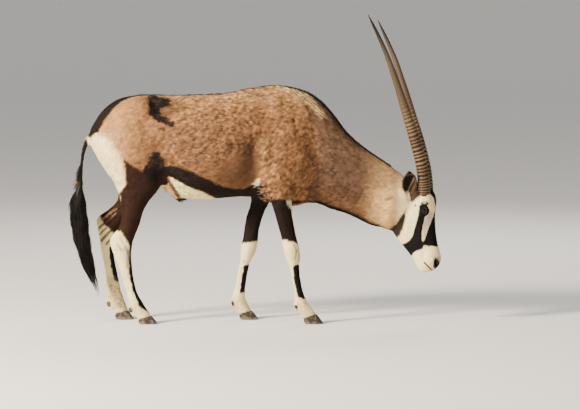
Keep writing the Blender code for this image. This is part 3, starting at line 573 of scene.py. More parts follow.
RIGHT_HIND_BLACK = [(131.2, 245), (135, 243), (140, 246), (150, 312), (143.5, 308), (139.6, 304),
                    (134, 290), (130.6, 276), (129.6, 262), (130, 252)]
LEFT_HIND_BLACK = [(108.4, 241), (114, 245), (122, 256), (127, 284), (123, 287), (113.4, 280),
                   (111.0, 272), (109.4, 260), (108.2, 250)]
# Painted shadows in the folds of the left hock
LEFT_HOCK_FOLD_SHADOWS = [(97.5, 228.0, 110.0, 217.0, 1.5), (98.5, 234.0, 110.0, 223.5, 0.9),
                   (100.5, 240.5, 111.0, 229.0, 1.5), (105.5, 244.0, 113.0, 234.5, 1.2)]
LEFT_FETLOCK_BROWNING = [(104, 277), (114, 277), (126, 284), (130, 300), (128, 311), (112, 309), (106, 299)]
RIGHT_HOCK_MARKS = [(118.4, 244.0, 123.0, 249.5, 1.1), (126.4, 246.0, 129.8, 254.0, 1.2),
                    (121.5, 236.5, 124.0, 243.5, 0.7)]
KNEE_MARKS = [(293.6, 244.0, 297.0, 251.0, 0.7), (296.4, 250.0, 294.8, 258.0, 0.8),
              (299.4, 252.0, 299.0, 261.0, 0.7), (243.0, 260.0, 244.0, 262.4, 0.6)]
TENDON_HIGHLIGHTS = [(100.5, 219.0, 116.0, 207.5, 0.8), (104.5, 222.0, 115.0, 212.5, 0.5)]
NECK_SPOT = (386.5, 199.6, 392.5, 197.6, 1.7)
EYE_FLECKS = [(414.4, 205.6, 415.0, 206.2, 0.7), (420.8, 203.4, 423.6, 202.6, 0.6),
              (425.8, 202.6, 427.4, 204.4, 0.8), (422.4, 204.6, 426.2, 204.4, 0.9)]
FACE_WHITE = [(414, 198.5), (419.5, 196.5), (428, 195.5), (450, 193), (450, 290), (410, 290), (396, 262),
              (395, 239), (402.5, 230), (405.5, 221), (407.5, 213.5), (411, 208), (413, 203)]
BLAZE = [(434.6, 211), (432.4, 217), (430.6, 222.5), (428, 228), (426, 234), (424, 240), (421, 244),
         (421, 248), (424, 245.6), (427.5, 246.5), (432, 246.6), (438, 247.2), (450, 247), (450, 209)]
EYE_STRIPE = [(418.6, 206), (421.5, 203.8), (425.5, 204.2), (427.6, 207), (427.8, 212), (426, 215),
              (423.6, 219), (422.2, 226), (421.2, 234), (421.6, 240), (424, 244.5), (421.5, 249.5),
              (416, 251.2), (413.2, 253), (411, 257.5), (398, 262), (394, 246), (401.5, 245),
              (406, 243), (409.4, 240.5), (412, 236.5), (414, 230), (416, 222), (417.8, 215),
              (418.4, 210)]
JAW_WEDGE = [(405.2, 210.5), (400.4, 217.5), (395.2, 225), (390.4, 229), (384, 232), (394, 246),
             (398.4, 237.5), (402, 230), (404.6, 222)]
GREY_STRIPE = [(424.5, 214), (429, 211.5), (433, 213), (430.6, 221), (427.6, 228), (425.6, 234),
               (423.6, 238), (422.4, 230), (423, 221)]
BROW_HAIR_AND_SHADE = [(404, 200), (405, 182), (432, 182), (431, 193.5), (425, 194.4), (420, 195.5), (416, 198.5),
              (413, 202), (408, 202)]
FOREHEAD = [(424, 186), (450, 186), (450, 214), (434.6, 214), (434.4, 206), (433.4, 199), (430, 194.5)]
NOSE_DARK = [(433.6, 258.8), (436.2, 257.8), (438.2, 260.0), (439.2, 263.5), (438.6, 267.4),
             (436.8, 270.0), (434.4, 269.2), (432.8, 266.8), (433.0, 263.0)]
NOSE_GREY = [(431.8, 257.6), (435.6, 255.6), (440.0, 258.0), (441.5, 264.0), (439.6, 270.0),
             (434.6, 271.0), (431.4, 267.4), (431.4, 262.0)]
MUZZLE_FLECKS = [(427.0, 256.0), (431.0, 252.5), (434.5, 254.0), (434.0, 262.0),
                 (431.0, 267.0), (427.5, 263.5)]
CREST_COMB = [(278, 82), (288, 83), (300, 88), (312, 98), (322, 109), (327, 118), (321.5, 119.5), (314, 111),
              (306, 103), (296, 96), (286, 91.5), (278, 89)]
EAR_BASE_WHITE = [(399, 189), (403.5, 191), (407.5, 195.5), (408.5, 200), (404.5, 201), (399, 196)]
SHEATH_SHADE_LINE = (168.4, 176.5, 181.0, 198.5, 1.9)
HOCK_SHADE_BAND = (129.6, 250.0, 128.6, 266.0, 1.8)
NOSTRIL = (434.8, 261.0, 436.6, 267.0, 1.10)
MOUTH_LINE = (424.0, 262.6, 434.0, 272.6, 0.85)
NECK_MIDDLE = ([300, 335, 358, 393], [170, 182, 196, 214])
RIDGE_HALF = ([92, 105, 120, 135, 155, 300], [0.10, 0.105, 0.07, 0.036, 0.012, 0.011])
STRIPE_FROM = ([208, 228], [0.07, -0.03])
DOCK_X = -0.825


def linear(colour):
    """Light-linear value of a colour written as 0 to 255."""
    value = np.array(colour, dtype=float) / 255.0
    return np.where(value <= 0.04045, value / 12.92, ((value + 0.055) / 1.055) ** 2.4)


def inside(column, row, outline, soft, ragged=0.0):
    """1 inside an outline, 0 outside, with an edge that is soft over some columns."""
    away = np.full(len(column), 1e9)
    within = np.zeros(len(column), dtype=bool)
    closed = list(outline) + [outline[0]]
    for (ax, ay), (bx, by) in zip(closed, closed[1:]):
        away = np.minimum(away, line_distance(column, row, (ax, ay, bx, by)))
        if ay != by:
            crossing = ax + (row - ay) * (bx - ax) / (by - ay)
            within ^= ((ay > row) != (by > row)) & (column < crossing)
    signed = np.where(within, away, -away)
    return ramp(signed + ragged, -soft, soft)


def blended(colours, paint, share):
    """Colours drawn towards a paint by a share for each of them."""
    return colours + (linear(paint) - colours) * np.clip(share, 0.0, 1.0)[..., None]


class Coat:
    """Points of the coat, their places in the drawings, and their colours, which start as fawn."""

    def __init__(self, points, normals):
        self.points, self.normals = points, normals
        self.side = side_grid(points)
        self.limb = true_grid(points)
        self.face = face_grid(points)[:2]
        self.on_head = head_weight(points)
        self.body = 1.0 - self.on_head
        self.width = np.abs(points[:, 1])
        self.right = points[:, 1] < 0
        self.fine = (cloud(points, 0.006) - 0.5) * 2.0
        self.coarse = (cloud(points, 0.022, 1) - 0.5) * 2.0
        self.mottle = ramp(self.coarse + self.fine, -0.5, 0.3)
        self.edge = 0.8 * self.fine + 0.7 * self.coarse
        self.colour = np.tile(linear(FAWN), (len(points), 1))

    def tint(self, share, paint):
        self.colour = blended(self.colour, paint, share)

    def on_side(self, outline, soft, ragged=0.0):
        """Share of the body's points in an outline with a soft and ragged edge."""
        return self.body * inside(*self.side, outline, soft, self.edge * ragged)

    def on_limb(self, outline, soft, ragged):
        return self.body * inside(*self.limb, outline, soft, self.edge * ragged)

    def on_face(self, outline, soft, ragged=0.0):
        return self.on_head * inside(*self.face, outline, soft, self.edge * ragged)

    def streak(self, grid, line, soft, ragged=0.0):
        """Share of the points on a line of the drawing."""
        away = line_distance(*grid, line[:4])
        return ramp(line[4] - away + self.edge * ragged, -soft, soft)


def fawn_of_body(coat):
    """Paler along the back and on the rump; darker neck and lower neck, partly painted shade; painted shade
    behind the elbow, a painted highlight on the arm's rear edge, painted shadows of curled hair clumps, and a
    pebbled mottle that is partly the coat's tone and partly painted light and shade.
    """
    column, row = coat.side
    body, coarse, points = coat.body, coat.coarse, coat.points
    under = under_back(column, row)
    flank = ramp(under, 18.0, 50.0) * ramp(column, 160, 190) * ramp(262.0 - column, 0, 20)
    below = row - np.interp(column, *NECK_MIDDLE)
    pale = ramp(column, 358, 392) * (0.30 + 0.62 * ramp(row + coarse * 2.0, 180, 203))
    coat.tint(body * ramp(34.0 - under, 0.0, 30.0) * ramp(column, 140, 190) * 0.9, BACK_FAWN)
    coat.tint(body * ramp(150.0 - column, 0.0, 30.0) * 0.9, RUMP_FAWN)
    coat.tint(body * flank * 0.8, FLANK_FAWN)
    # Painted shade in the hollow of the flank behind the elbow
    coat.tint(coat.on_side(SHADED_SIDE, 4.5, 2.0) * 0.75, SIDE_SHADE)
    # Painted highlight along the lit rear edge of the upper arm
    coat.tint(coat.on_side(LIT_ARM_EDGE, 4.0, 2.0) * 0.55, ARM_HIGHLIGHT)
    # Darker fawn over the neck, partly painted shade
    coat.tint(coat.on_side(NECK_AREA, 5.0, 2.0) * 0.85, NECK_SHADE_FAWN)
    # Painted shade: darker tan low on the neck
    coat.tint(body * ramp(column, 298, 316) * ramp(below, -10.0, 20.0) * 0.5, THROAT_SHADE_TAN)
    coat.tint(body * (cloud(points, 0.09, 2) - 0.5) * 0.4 * ramp(column, 165, 200), DARK_BROWN)
    coat.tint(body * pale, PALE_NECK)
    comb = coat.on_side(CREST_COMB, 1.6, 1.0)
    ticks = ramp(np.sin((column * 0.9 - row) * 1.9 + coarse * 1.6), -0.1, 0.5)
    coat.tint(comb * 0.55, SHEATH_PALE)
    coat.tint(comb * ticks * 0.75, DARK_BROWN)
    # A darker spot on the neck in the same tan
    coat.tint(coat.streak(coat.side, NECK_SPOT, 0.7, 0.4) * 0.6, THROAT_SHADE_TAN)
    # Pebbled mottle: partly the coat's own tone, partly painted light and shade of its rough clumps
    pebble_light_and_tone = (cloud(points, 0.0105, 3) - 0.5) * 1.8 + (cloud(points, 0.0060, 1) - 0.5) * 1.4
    pebble_light_and_tone *= body * ramp(column, 105, 165) * (1.0 - 0.5 * ramp(column, 330, 385))
    pebble_light_and_tone *= 1.0 - 0.75 * inside(column, row, SHADED_SIDE, 4.5)
    coat.colour *= (1.0 + 0.62 * pebble_light_and_tone)[:, None]
    # Painted shadows of the curled hair clumps on the flank
    clump_shadows = ramp(cloud(points, 0.0095, 2), 0.62, 0.74)
    coat.tint(coat.on_side(CLUMP_SHADOW_AREA, 9.0) * clump_shadows * 0.6, DARK_BROWN)


def marks_of_head(coat):
    """White face with a black blaze, a stripe through each eye, and a dark nose, with painted shade at the
    brow, round and in the nostrils and in the slit of the mouth.
    """
    face_column = coat.face[0]
    dotted = ramp(coat.fine + 0.5 * coat.coarse, 0.05, 0.45)
    coat.tint(coat.on_head * ramp(coat.side[0], 390, 406) * 0.72, CREAM)
    coat.tint(coat.on_face(FACE_WHITE, 2.5, 0.5), WHITE)
    # Brow darkened round the ear's foot and the horn's base: partly dark hair, partly painted shade
    coat.tint(coat.on_face(BROW_HAIR_AND_SHADE, 1.2, 0.6), BROW_AND_SHADE_BROWN)
    coat.tint(coat.on_face(BROW_HAIR_AND_SHADE, 1.5) * ramp(face_column, 411.0, 419.0) * 0.9, BROWN_BLACK)
    coat.tint(coat.on_face(EAR_BASE_WHITE, 2.0, 1.0) * 0.75, CREAM)
    coat.tint(coat.on_face(GREY_STRIPE, 1.0, 0.3) * 0.75, GREY_WHITE)
    coat.tint(coat.on_face(JAW_WEDGE, 0.8, 0.8), WEDGE_BROWN)
    coat.tint(coat.on_face(EYE_STRIPE, 0.35, 0.35), BLACK)
    for line in EYE_FLECKS:
        coat.tint(coat.on_head * coat.streak(coat.face, line, 0.3, 0.3), BROWN_BLACK)
    for middle in eye_middles.values():
        near = EYE_RADIUS + 0.0065 - np.linalg.norm(coat.points - middle, axis=1)
        coat.tint(coat.on_head * ramp(near + coat.edge * 0.0012, -0.0015, 0.0015), BLACK)
    coat.tint(coat.on_face(BLAZE, 0.35, 0.35), BLACK)
    coat.tint(coat.on_face(FOREHEAD, 0.5, 0.35), BLACK)
    coat.tint(coat.on_face(NOSE_GREY, 1.6, 0.3) * 0.45, NOSE_SKIN)
    # Dark nose skin round the nostrils, partly painted shade
    coat.tint(coat.on_face(NOSE_DARK, 0.55, 0.25), NOSE_BLACK)
    # Painted shade inside the nostrils
    coat.tint(coat.on_head * coat.streak(coat.face, NOSTRIL, 0.30), NOSTRIL_SHADE)
    # Painted shade in the slit of the mouth
    coat.tint(coat.on_head * coat.streak(coat.face, MOUTH_LINE, 0.25) * 0.95, MOUTH_SHADE)
    coat.tint(coat.on_face(MUZZLE_FLECKS, 1.5) * dotted * 0.55, HOCK_GREY)


def marks_of_trunk(coat):
    """White buttock and belly, black flank stripe, thigh, croup, throat and hip mark, with painted shade
    along the sheath's side.
    """
    column, row = coat.side
    body, width, edge, mottle = coat.body, coat.width, coat.edge, coat.mottle
    outer = ramp(width, 0.055, 0.085)
    seen = np.where(coat.right, 1.0, 0.5)
    inner = ramp(0.10 - width, -0.01, 0.035) * ramp(row, 165, 180) * ramp(255 - column, 0, 8)
    coat.tint(coat.on_side(BUTTOCK, 5.0, 1.5), CREAM)
    coat.tint(body * inner * ramp(coat.points[:, 0], -0.82, -0.78), CREAM)
    coat.tint(coat.on_side(BELLY, 1.0, 1.0), BELLY_WHITE)
    coat.tint(coat.on_side(SHEATH, 0.8, 0.6) * 0.9, SHEATH_PALE)
    # Painted shade along the sheath's shaded side
    coat.tint(body * coat.streak(coat.side, SHEATH_SHADE_LINE, 0.7, 0.4) * 0.9, SHEATH_SHADE)
    coat.tint(coat.on_side(SHEATH_TIP, 0.8, 0.5) * 0.85, BROWN_BLACK)
    coat.tint(coat.on_side(STIFLE_SHADE, 4.0, 2.0) * 0.45, DARK_BROWN)
    coat.tint(coat.on_side(THIGH_PATCH, 1.1, 1.3) * outer, DARK_BROWN)
    coat.tint(coat.on_side(WORN_PATCH, 5.0, 2.5) * 0.18, GREY_WHITE)
    start = np.interp(column, *STRIPE_FROM)
    coat.tint(coat.on_side(FLANK_STRIPE, 1.0, 1.0) * ramp(width, start, start + 0.03), BROWN_BLACK)
    coat.tint(coat.on_side(STIFLE_BLOB, 1.5, 2.5) * outer * (0.8 + 0.2 * mottle), BLACK)
    coat.tint(coat.on_side(HIP_SHADE, 3.0, 2.5) * 0.5 * seen, DARK_BROWN)
    coat.tint(coat.on_side(HIP_MARK, 0.9, 1.7) * (0.90 + 0.10 * mottle) * seen, BLACK)
    coat.tint(coat.on_side(RUMP_PATCH, 1.3, 1.3) * (width < 0.2), BROWN_BLACK)
    ridge = ramp(np.interp(column, *RIDGE_HALF) + edge * 0.004 - width, -0.005, 0.005)
    ridge *= ramp(column, 88, 94) * ramp(-row, -140, -135) * (coat.normals[:, 2] > 0.2)
    coat.tint(body * ridge, BROWN_BLACK)
    coat.tint(coat.on_side(ELBOW_TUFT, 1.2, 1.0), TUFT_WHITE)
    flecked = coat.on_side(ELBOW_FLECKS, 2.0, 1.0)
    coat.tint(flecked * ramp(coat.fine, 0.35, 0.6) * 0.45, TUFT_WHITE)
    coat.tint(flecked * ramp(-coat.fine, 0.15, 0.45), BROWN_BLACK)
    coat.tint(coat.on_side(THROAT_LINE, 1.0, 1.0) * ramp(0.05 - width, -0.012, 0.012), BLACK)


def marks_of_legs(coat):
    """Dark upper legs and white lower ones with black cannons, each side with its own outlines, with painted
    highlights on the left hock's tendons, painted shadows in its folds and painted shade beside the right
    hind cannon's stripe; the gaskins' dark brown is partly painted shade.
    """
    column, row = coat.limb
    right, left, inward = coat.right, ~coat.right, -coat.normals[:, 1]
    free = coat.body * ramp(coat.width, 0.03, 0.05)
    off_tail = ramp(coat.points[:, 0], DOCK_X, DOCK_X + 0.007)
    fore = (column > 215) & (coat.points[:, 0] < 0.345)
    top = np.where(right, 198.0 + 0.10 * np.abs(column - 282.0), 201.0)
    coat.tint(free * ramp(row + coat.edge * 0.8, top - 1.2, top + 1.2) * fore, BROWN_BLACK)
    coat.tint(coat.on_limb(ARM_WHITE, 0.9, 0.7) * right * 0.8, TUFT_WHITE)
    # Dark brown gaskins: partly their own colour, partly painted shade
    gaskin = free * ramp(row, 192.0, 199.0) * (column < 165) * off_tail
    coat.tint(gaskin, DARK_BROWN)
    coat.tint(gaskin * right * inside(*coat.side, BUTTOCK, 1.5, coat.edge), CREAM)
    for outline, part, soft, ragged in (
            (RIGHT_FORE_WHITE, right & fore, 0.6, 1.1), (LEFT_FORE_WHITE, left & fore, 0.6, 1.1),
            (RIGHT_HIND_WHITE, right & ~fore, 0.8, 1.3), (LEFT_HIND_WHITE, left & ~fore, 0.8, 1.3)):
        coat.tint(free * coat.on_limb(outline, soft, ragged) * part * off_tail, WHITE)
    for outline, part, ragged in ((RIGHT_CANNON_BLACK, right, 1.1), (RIGHT_HIND_BLACK, right, 1.0),
                                  (LEFT_CANNON_BLACK, left, 1.1), (LEFT_HIND_BLACK, left, 1.0)):
        coat.tint(free * coat.on_limb(outline, 0.5, ragged) * part, BLACK)
    # Painted highlights along the left hock's tendons, painted shadows in its folds, grey marks on the right
    # hock and the knees
    for lines, soft, ragged, share, paint in (
            (TENDON_HIGHLIGHTS, 0.5, 0.3, left * (inward > -0.1) * 0.8, TENDON_HIGHLIGHT_TAN),
            (LEFT_HOCK_FOLD_SHADOWS, 0.6, 0.5, left * ramp(inward, 0.1, 0.6) * 0.85, DARK_BROWN),
            (RIGHT_HOCK_MARKS, 0.6, 0.5, right * 0.7, HOCK_GREY),
            (KNEE_MARKS, 0.6, 0.5, fore * 0.65, HOCK_GREY)):
        for line in lines:
            coat.tint(free * coat.streak(coat.limb, line, soft, ragged) * share, paint)
    folds = (0.5 + 0.5 * np.sin(row * 1.7 + coat.coarse * 5.0)) * coat.mottle
    # Browner mottle in horizontal bands over the left hind fetlock
    browning = left * (0.20 + 0.35 * folds + 0.35 * ramp(coat.fine, 0.1, 0.5))
    coat.tint(free * coat.on_limb(LEFT_FETLOCK_BROWNING, 3.0, 1.5) * browning, FETLOCK_BROWN)
    # Painted shade beside the black stripe of the right hind cannon
    coat.tint(free * coat.streak(coat.limb, HOCK_SHADE_BAND, 1.0, 0.5) * right * 0.6, HOCK_GREY)


def coat_colour(points, normals):
    """Colour of the coat at each point, in light-linear values."""
    coat = Coat(points, normals)
    for paint in (fawn_of_body, marks_of_head, marks_of_trunk, marks_of_legs):
        paint(coat)
    dock = ramp(DOCK_X - points[:, 0], 0.0, 0.006) * ramp(0.94 - points[:, 2], 0.0, 0.03)
    coat.tint(dock, BROWN_BLACK)
    speckle = 1.0 + 0.10 * coat.fine + 0.10 * coat.coarse
    return np.clip(coat.colour * speckle[:, None], 0.0, 1.0)


def give_colour(mesh, colours):
    """Keep a colour for each corner of a mesh, for its material to read."""
    layer = mesh.color_attributes.new("coat", "FLOAT_COLOR", "POINT")
    full = np.ones((len(colours), 4), dtype=np.float32)
    full[:, :3] = colours
    layer.data.foreach_set("color", full.ravel())


give_colour(skin.data, coat_colour(points, normals_of(skin.data)))


def new_material(name, roughness, **sockets):
    """A new material, its nodes and links, and its shader with these values on its sockets."""
    made = bpy.data.materials.new(name)
    made.use_nodes = True
    nodes, links = made.node_tree.nodes, made.node_tree.links
    shader = nodes["Principled BSDF"]
    shader.inputs["Roughness"].default_value = roughness
    for socket, value in sockets.items():
        shader.inputs[socket.replace("_", " ")].default_value = value
    return made, nodes, links, shader


def coat_node(nodes):
    """Node that reads the colour kept in the mesh."""
    paint = nodes.new("ShaderNodeAttribute")
    paint.attribute_name = "coat"
    return paint


def coat_material(name, roughness, grain, bump, shine=0.12):
    """Matt short hair: the marking colour, mottled finely, with a bump of hair ends."""
    made, nodes, links, shader = new_material(name, roughness, Specular_IOR_Level=shine)
    where = nodes.new("ShaderNodeTexCoord")
    noise = nodes.new("ShaderNodeTexNoise")
    noise.inputs["Scale"].default_value = grain
    noise.inputs["Detail"].default_value = 3.0
    links.new(where.outputs["Object"], noise.inputs["Vector"])
    spread = nodes.new("ShaderNodeMapRange")
    for socket, value in (("From Min", 0.3), ("From Max", 0.7), ("To Min", 0.80), ("To Max", 1.18)):
        spread.inputs[socket].default_value = value
    links.new(noise.outputs["Fac"], spread.inputs["Value"])
    mixed = nodes.new("ShaderNodeVectorMath")
    mixed.operation = "SCALE"
    links.new(coat_node(nodes).outputs["Color"], mixed.inputs[0])
    links.new(spread.outputs["Result"], mixed.inputs["Scale"])
    links.new(mixed.outputs["Vector"], shader.inputs["Base Color"])
    raised = nodes.new("ShaderNodeBump")
    raised.inputs["Strength"].default_value = 0.6
    raised.inputs["Distance"].default_value = bump
    links.new(noise.outputs["Fac"], raised.inputs["Height"])
    links.new(raised.outputs["Normal"], shader.inputs["Normal"])
    return made


hide_hair = coat_material("hide_hair", 0.75, 260.0, 0.002)
skin.data.materials.clear()
skin.data.materials.append(hide_hair)
picked(skin)
bpy.ops.object.shade_smooth()
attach(skin, "root")
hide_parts(*FLESH)

# ---------------------------------------------------------------- eyes
# Two dark, wet balls with a lying pupil, set in the sockets, and a thin dark rim of bare skin
# along the lids. Smooth and glossy.
PUPIL_LENGTH = 0.0062
PUPIL_HEIGHT = 0.0030
IRIS = 0.0105
IRIS_BROWN = (22, 12, 8)
BALL_DARK = (10, 7, 6)
PUPIL_BLACK = (3, 3, 4)
RIM_DARK = (16, 13, 12)
RIM_RADIUS = 0.0010
RIM_STEPS = 72


def grid_mesh(name, rings):
    """Closed mesh through rings of points, each ring closed on itself, with a fan at each end."""
    count, sides = rings.shape[:2]
    index = np.arange(count * sides).reshape(count, sides)
    turned = np.roll(index, -1, axis=1)
    quads = np.stack([index[:-1], turned[:-1], turned[1:], index[1:]], axis=-1).reshape(-1, 4)
    points = np.vstack([rings.reshape(-1, 3), rings[0].mean(0), rings[-1].mean(0)])
    faces = quads.tolist()
    for k in range(sides):
        faces.append([int(turned[0, k]), int(index[0, k]), count * sides])
        faces.append([int(index[-1, k]), int(turned[-1, k]), count * sides + 1])
    mesh = bpy.data.meshes.new(name)
    mesh.from_pydata(points.tolist(), [], faces)
    made = new_object(name, mesh)
    faces_outward(made)
    bpy.ops.object.shade_smooth()
    return made


def tube_rings(path, radii, sides, start=None):
    """Rings of points round a path, kept from twisting."""
    path = np.asarray(path, dtype=float)
    along = unit(np.gradient(path, axis=0))
    across = np.cross(along[0], (0.0, 0.0, 1.0) if start is None else start)
    if np.linalg.norm(across) < 1e-3:
        across = np.cross(along[0], (0.0, 1.0, 0.0))
    rings = []
    angles = np.linspace(0, 2 * math.pi, sides, endpoint=False)
    for i in range(len(path)):
        across = unit(across - along[i] * (across @ along[i]))
        up = np.cross(along[i], across)
        wave = np.outer(np.cos(angles), across) + np.outer(np.sin(angles), up)
        rings.append(path[i] + wave * np.reshape(radii[i], (-1, 1)))
    return np.array(rings)


eye_rim = new_material("eye_rim", 0.35, Base_Color=(*linear(RIM_DARK), 1.0))[0]
iris_paint, nodes, links, shader = new_material("eye_iris", 0.07, Specular_IOR_Level=0.22)
links.new(coat_node(nodes).outputs["Color"], shader.inputs["Base Color"])
for name, (middle, out, corner, brow) in eye_axes.items():
    bpy.ops.mesh.primitive_uv_sphere_add(segments=64, ring_count=40, radius=EYE_RADIUS)
    eye = bpy.context.active_object
    eye.name = name.replace("eye_", "eyeball_")
    ball = points_of(eye.data)
    put_points(eye.data, middle + ball @ np.array((brow, corner, out)))
    faces_outward(eye)
    bpy.ops.object.shade_smooth()
    in_front = ball[:, 2] > 0
    pupil = np.hypot(ball[:, 1] / PUPIL_LENGTH, ball[:, 0] / PUPIL_HEIGHT) < 1.0
    shade = np.tile(linear(IRIS_BROWN), (len(ball), 1))
    shade[(np.hypot(ball[:, 0], ball[:, 1]) > IRIS) | (ball[:, 2] < 0)] = linear(BALL_DARK)
    shade[pupil & in_front] = linear(PUPIL_BLACK)
    give_colour(eye.data, shade)
    eye.data.materials.append(iris_paint)
    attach(eye, "root")
    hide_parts(name)
    turn = np.linspace(0, 2 * math.pi, RIM_STEPS, endpoint=False)
    along = LID_LENGTH * np.cos(turn)
    across = LID_HEIGHT * (1 - (along / LID_LENGTH) ** 2) * np.sign(np.sin(turn))
    depth = np.sqrt(np.maximum(EYE_RADIUS ** 2 - along ** 2 - across ** 2, 1e-8))
    path = unit(np.outer(along, corner) + np.outer(across, brow) + np.outer(depth, out))
    path = middle + path * (EYE_RADIUS + 0.0004)
    loop = np.vstack([path, path[:2]])
    rings = tube_rings(loop, [RIM_RADIUS] * len(loop), 8, out)
    rim = grid_mesh(name.replace("eye_", "eye_rim_"), rings)
    rim.data.materials.append(eye_rim)
    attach(rim, "root")

# ---------------------------------------------------------------- horns
# Two long, nearly straight horns of dark keratin over bone, ringed on the lower half, smooth and
# pointed above. Each grows out of the skull behind the eye. The pale crests are partly dust and partly
# painted highlight, the dark grooves partly painted shade, and the paler upper part below the black tip
# partly wear and partly painted sunlight.
HORN_LINE = [
    # column and row of the side drawing, distance to the side, radius
    (424.8, 199, 0.0365, 0.0300), (425.7, 190, 0.0375, 0.0308), (424.9, 178, 0.0395, 0.0300),
    (423.2, 166, 0.0430, 0.0286), (419.3, 150, 0.0485, 0.0278), (413.8, 131, 0.0570, 0.0262),
    (406.3, 107, 0.0700, 0.0220), (402.7, 95, 0.0775, 0.0193), (397.8, 80, 0.0865, 0.0162),
    (390.4, 58.5, 0.0985, 0.0126), (382.4, 40, 0.1070, 0.0091), (376.6, 28, 0.1130, 0.0062),
    (371.8, 18.2, 0.1190, 0.0016)]
HORN_REACH = {-1: 1.0155, 1: 0.981}
HEAD_MIDDLE_Y = -0.030
EYE_COLUMN = 426.7
HORN_STEP = 0.0018
HORN_SIDES = 28
RING_PITCH = 0.0185
BASE_PITCH = 0.0105
RING_RISE = 0.0032
RING_END = 0.56
RING_CREST = 0.72
RING_SLANT = 0.0042
FLUTE_DEPTH = 0.00035
HORN_DARK = (27, 20, 14)
HORN_PALE = (124, 94, 60)
HORN_WORN_AND_LIT = (98, 79, 56)
HORN_TIP = (20, 17, 15)


def head_place(column, row, side):
    """Point of the head's own drawing in the room."""
    drop = (FLOOR_ROW - row) * GRID - HEAD_MIDDLE_Y * math.sin(TILT)
    flat = eye_middle + head_fore * (column - EYE_COLUMN) * GRID + head_side * side
    return np.array((flat[0], flat[1], drop / math.cos(TILT)))


def even_path(points, values, step):
    """Smooth curve through the points, cut into even steps, with the values carried along."""
    points = np.asarray(points, dtype=float)
    both = np.hstack([points, np.asarray(values, dtype=float).reshape(len(points), -1)])
    padded = np.vstack([2 * both[0] - both[1], both, 2 * both[-1] - both[-2]])
    out = []
    for a, b, c, d in zip(padded, padded[1:], padded[2:], padded[3:]):
        for t in np.linspace(0, 1, 24, endpoint=False):
            bend = 2 * b + (c - a) * t + (2 * a - 5 * b + 4 * c - d) * t * t
            out.append(0.5 * (bend + (3 * b - a - 3 * c + d) * t ** 3))
    out.append(padded[-2])
    out = np.array(out)
    gone = np.concatenate([[0], np.cumsum(np.linalg.norm(np.diff(out[:, :3], axis=0), axis=1))])
    wanted = np.arange(0, gone[-1], step)
    wanted = np.append(wanted, gone[-1])
    full = np.stack([np.interp(wanted, gone, out[:, k]) for k in range(out.shape[1])], axis=1)
    return full[:, :3], full[:, 3:], wanted


horn_keratin = coat_material("horn_keratin", 0.50, 420.0, 0.0006, 0.2)
base = HORN_LINE[0][1]
for sign, name in ((-1, "right"), (1, "left")):
    middles = [head_place(column, base - (base - row) * HORN_REACH[sign], sign * side)
               for column, row, side, radius in HORN_LINE]
    path, radii, gone = even_path(middles, [line[3] for line in HORN_LINE], HORN_STEP)
    angles = np.linspace(0, 2 * math.pi, HORN_SIDES, endpoint=False)
    pitch = BASE_PITCH + (RING_PITCH - BASE_PITCH) * ramp(gone, 0.02, 0.16)
    phase = np.cumsum(np.gradient(gone) / pitch) + 0.12 * np.sin(gone * 90.0 + 1.3 * sign)
    saw = (phase[:, None] + np.outer(RING_SLANT / pitch, np.cos(angles - 1.2))) % 1.0
    climb = np.sin(math.pi * 0.5 * np.clip(saw / RING_CREST, 0.0, 1.0)) ** 1.6
    fall = np.cos(math.pi * 0.5 * np.clip((saw - RING_CREST) / (1.0 - RING_CREST), 0.0, 1.0))
    crest = climb * fall
    ringed = ramp(gone, 0.004, 0.03) * (1.0 - ramp(gone, RING_END * 0.72, RING_END))
    ringed *= (0.6 + 0.4 * ramp(gone, 0.03, 0.14)) * (0.85 + 0.25 * np.sin(gone * 37.0))
    fluted = np.outer(1.0 - ramp(gone, 0.5, 0.7), FLUTE_DEPTH * np.sin(angles * 11.0))
    size = radii + RING_RISE * ringed[:, None] * (crest - 0.55) + fluted
    rings = tube_rings(path, size, HORN_SIDES, (0.0, 1.0, 0.0))
    horn = grid_mesh("horn_ringed_" + name, rings)
    shade = np.tile(linear(HORN_DARK), (*size.shape, 1))
    # Pale crests: partly dust, partly painted highlight; the dark between them partly painted shade
    crest_share = np.clip(ringed[:, None] * ramp(crest, 0.45, 0.9), 0, 1)
    shade = blended(shade, HORN_PALE, crest_share * 0.9)
    # Paler upper part: partly wear, partly painted sunlight
    shade = blended(shade, HORN_WORN_AND_LIT, 0.5 * ramp(gone, 0.25, 0.5)[:, None])
    shade = blended(shade, HORN_TIP, ramp(gone, 0.68, 0.92)[:, None])
    give_colour(horn.data, np.vstack([shade.reshape(-1, 3), shade[0, :1], shade[-1, -1:]]))
    horn.data.materials.append(horn_keratin)
    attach(horn, "root")
    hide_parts("horn_" + name)

# ---------------------------------------------------------------- hooves
# Cloven hooves of dull grey-black horn with growth rings, two claws to each foot, and two small
# dewclaws behind. The claws stand flat on the floor.
FEET = ("right_fore", "left_fore", "right_hind", "left_hind")
HOOF_DARK = (52, 46, 42)
HOOF_DUST = (128, 110, 92)
HOOF_BEVEL = 0.0012
HOOF_VOXEL = 0.0019
HOOF_STEPS = IN_AND_OUT * 8 + [0.5] * 4
GROWTH_PITCH = 0.0046
GROWTH_DEPTH = 0.00022
DEWCLAW_FORM = [
    # height along the claw, share of its width, how far it hooks back
    (-0.95, 0.45, 0.0), (-0.80, 0.72, 0.0), (-0.55, 0.92, 0.0), (-0.2, 1.0, 0.0), (0.1, 0.96, 0.0),
    (0.35, 0.86, 0.0004), (0.6, 0.66, 0.0010), (0.8, 0.44, 0.0018), (0.93, 0.26, 0.0026),
    (1.0, 0.10, 0.0032)]


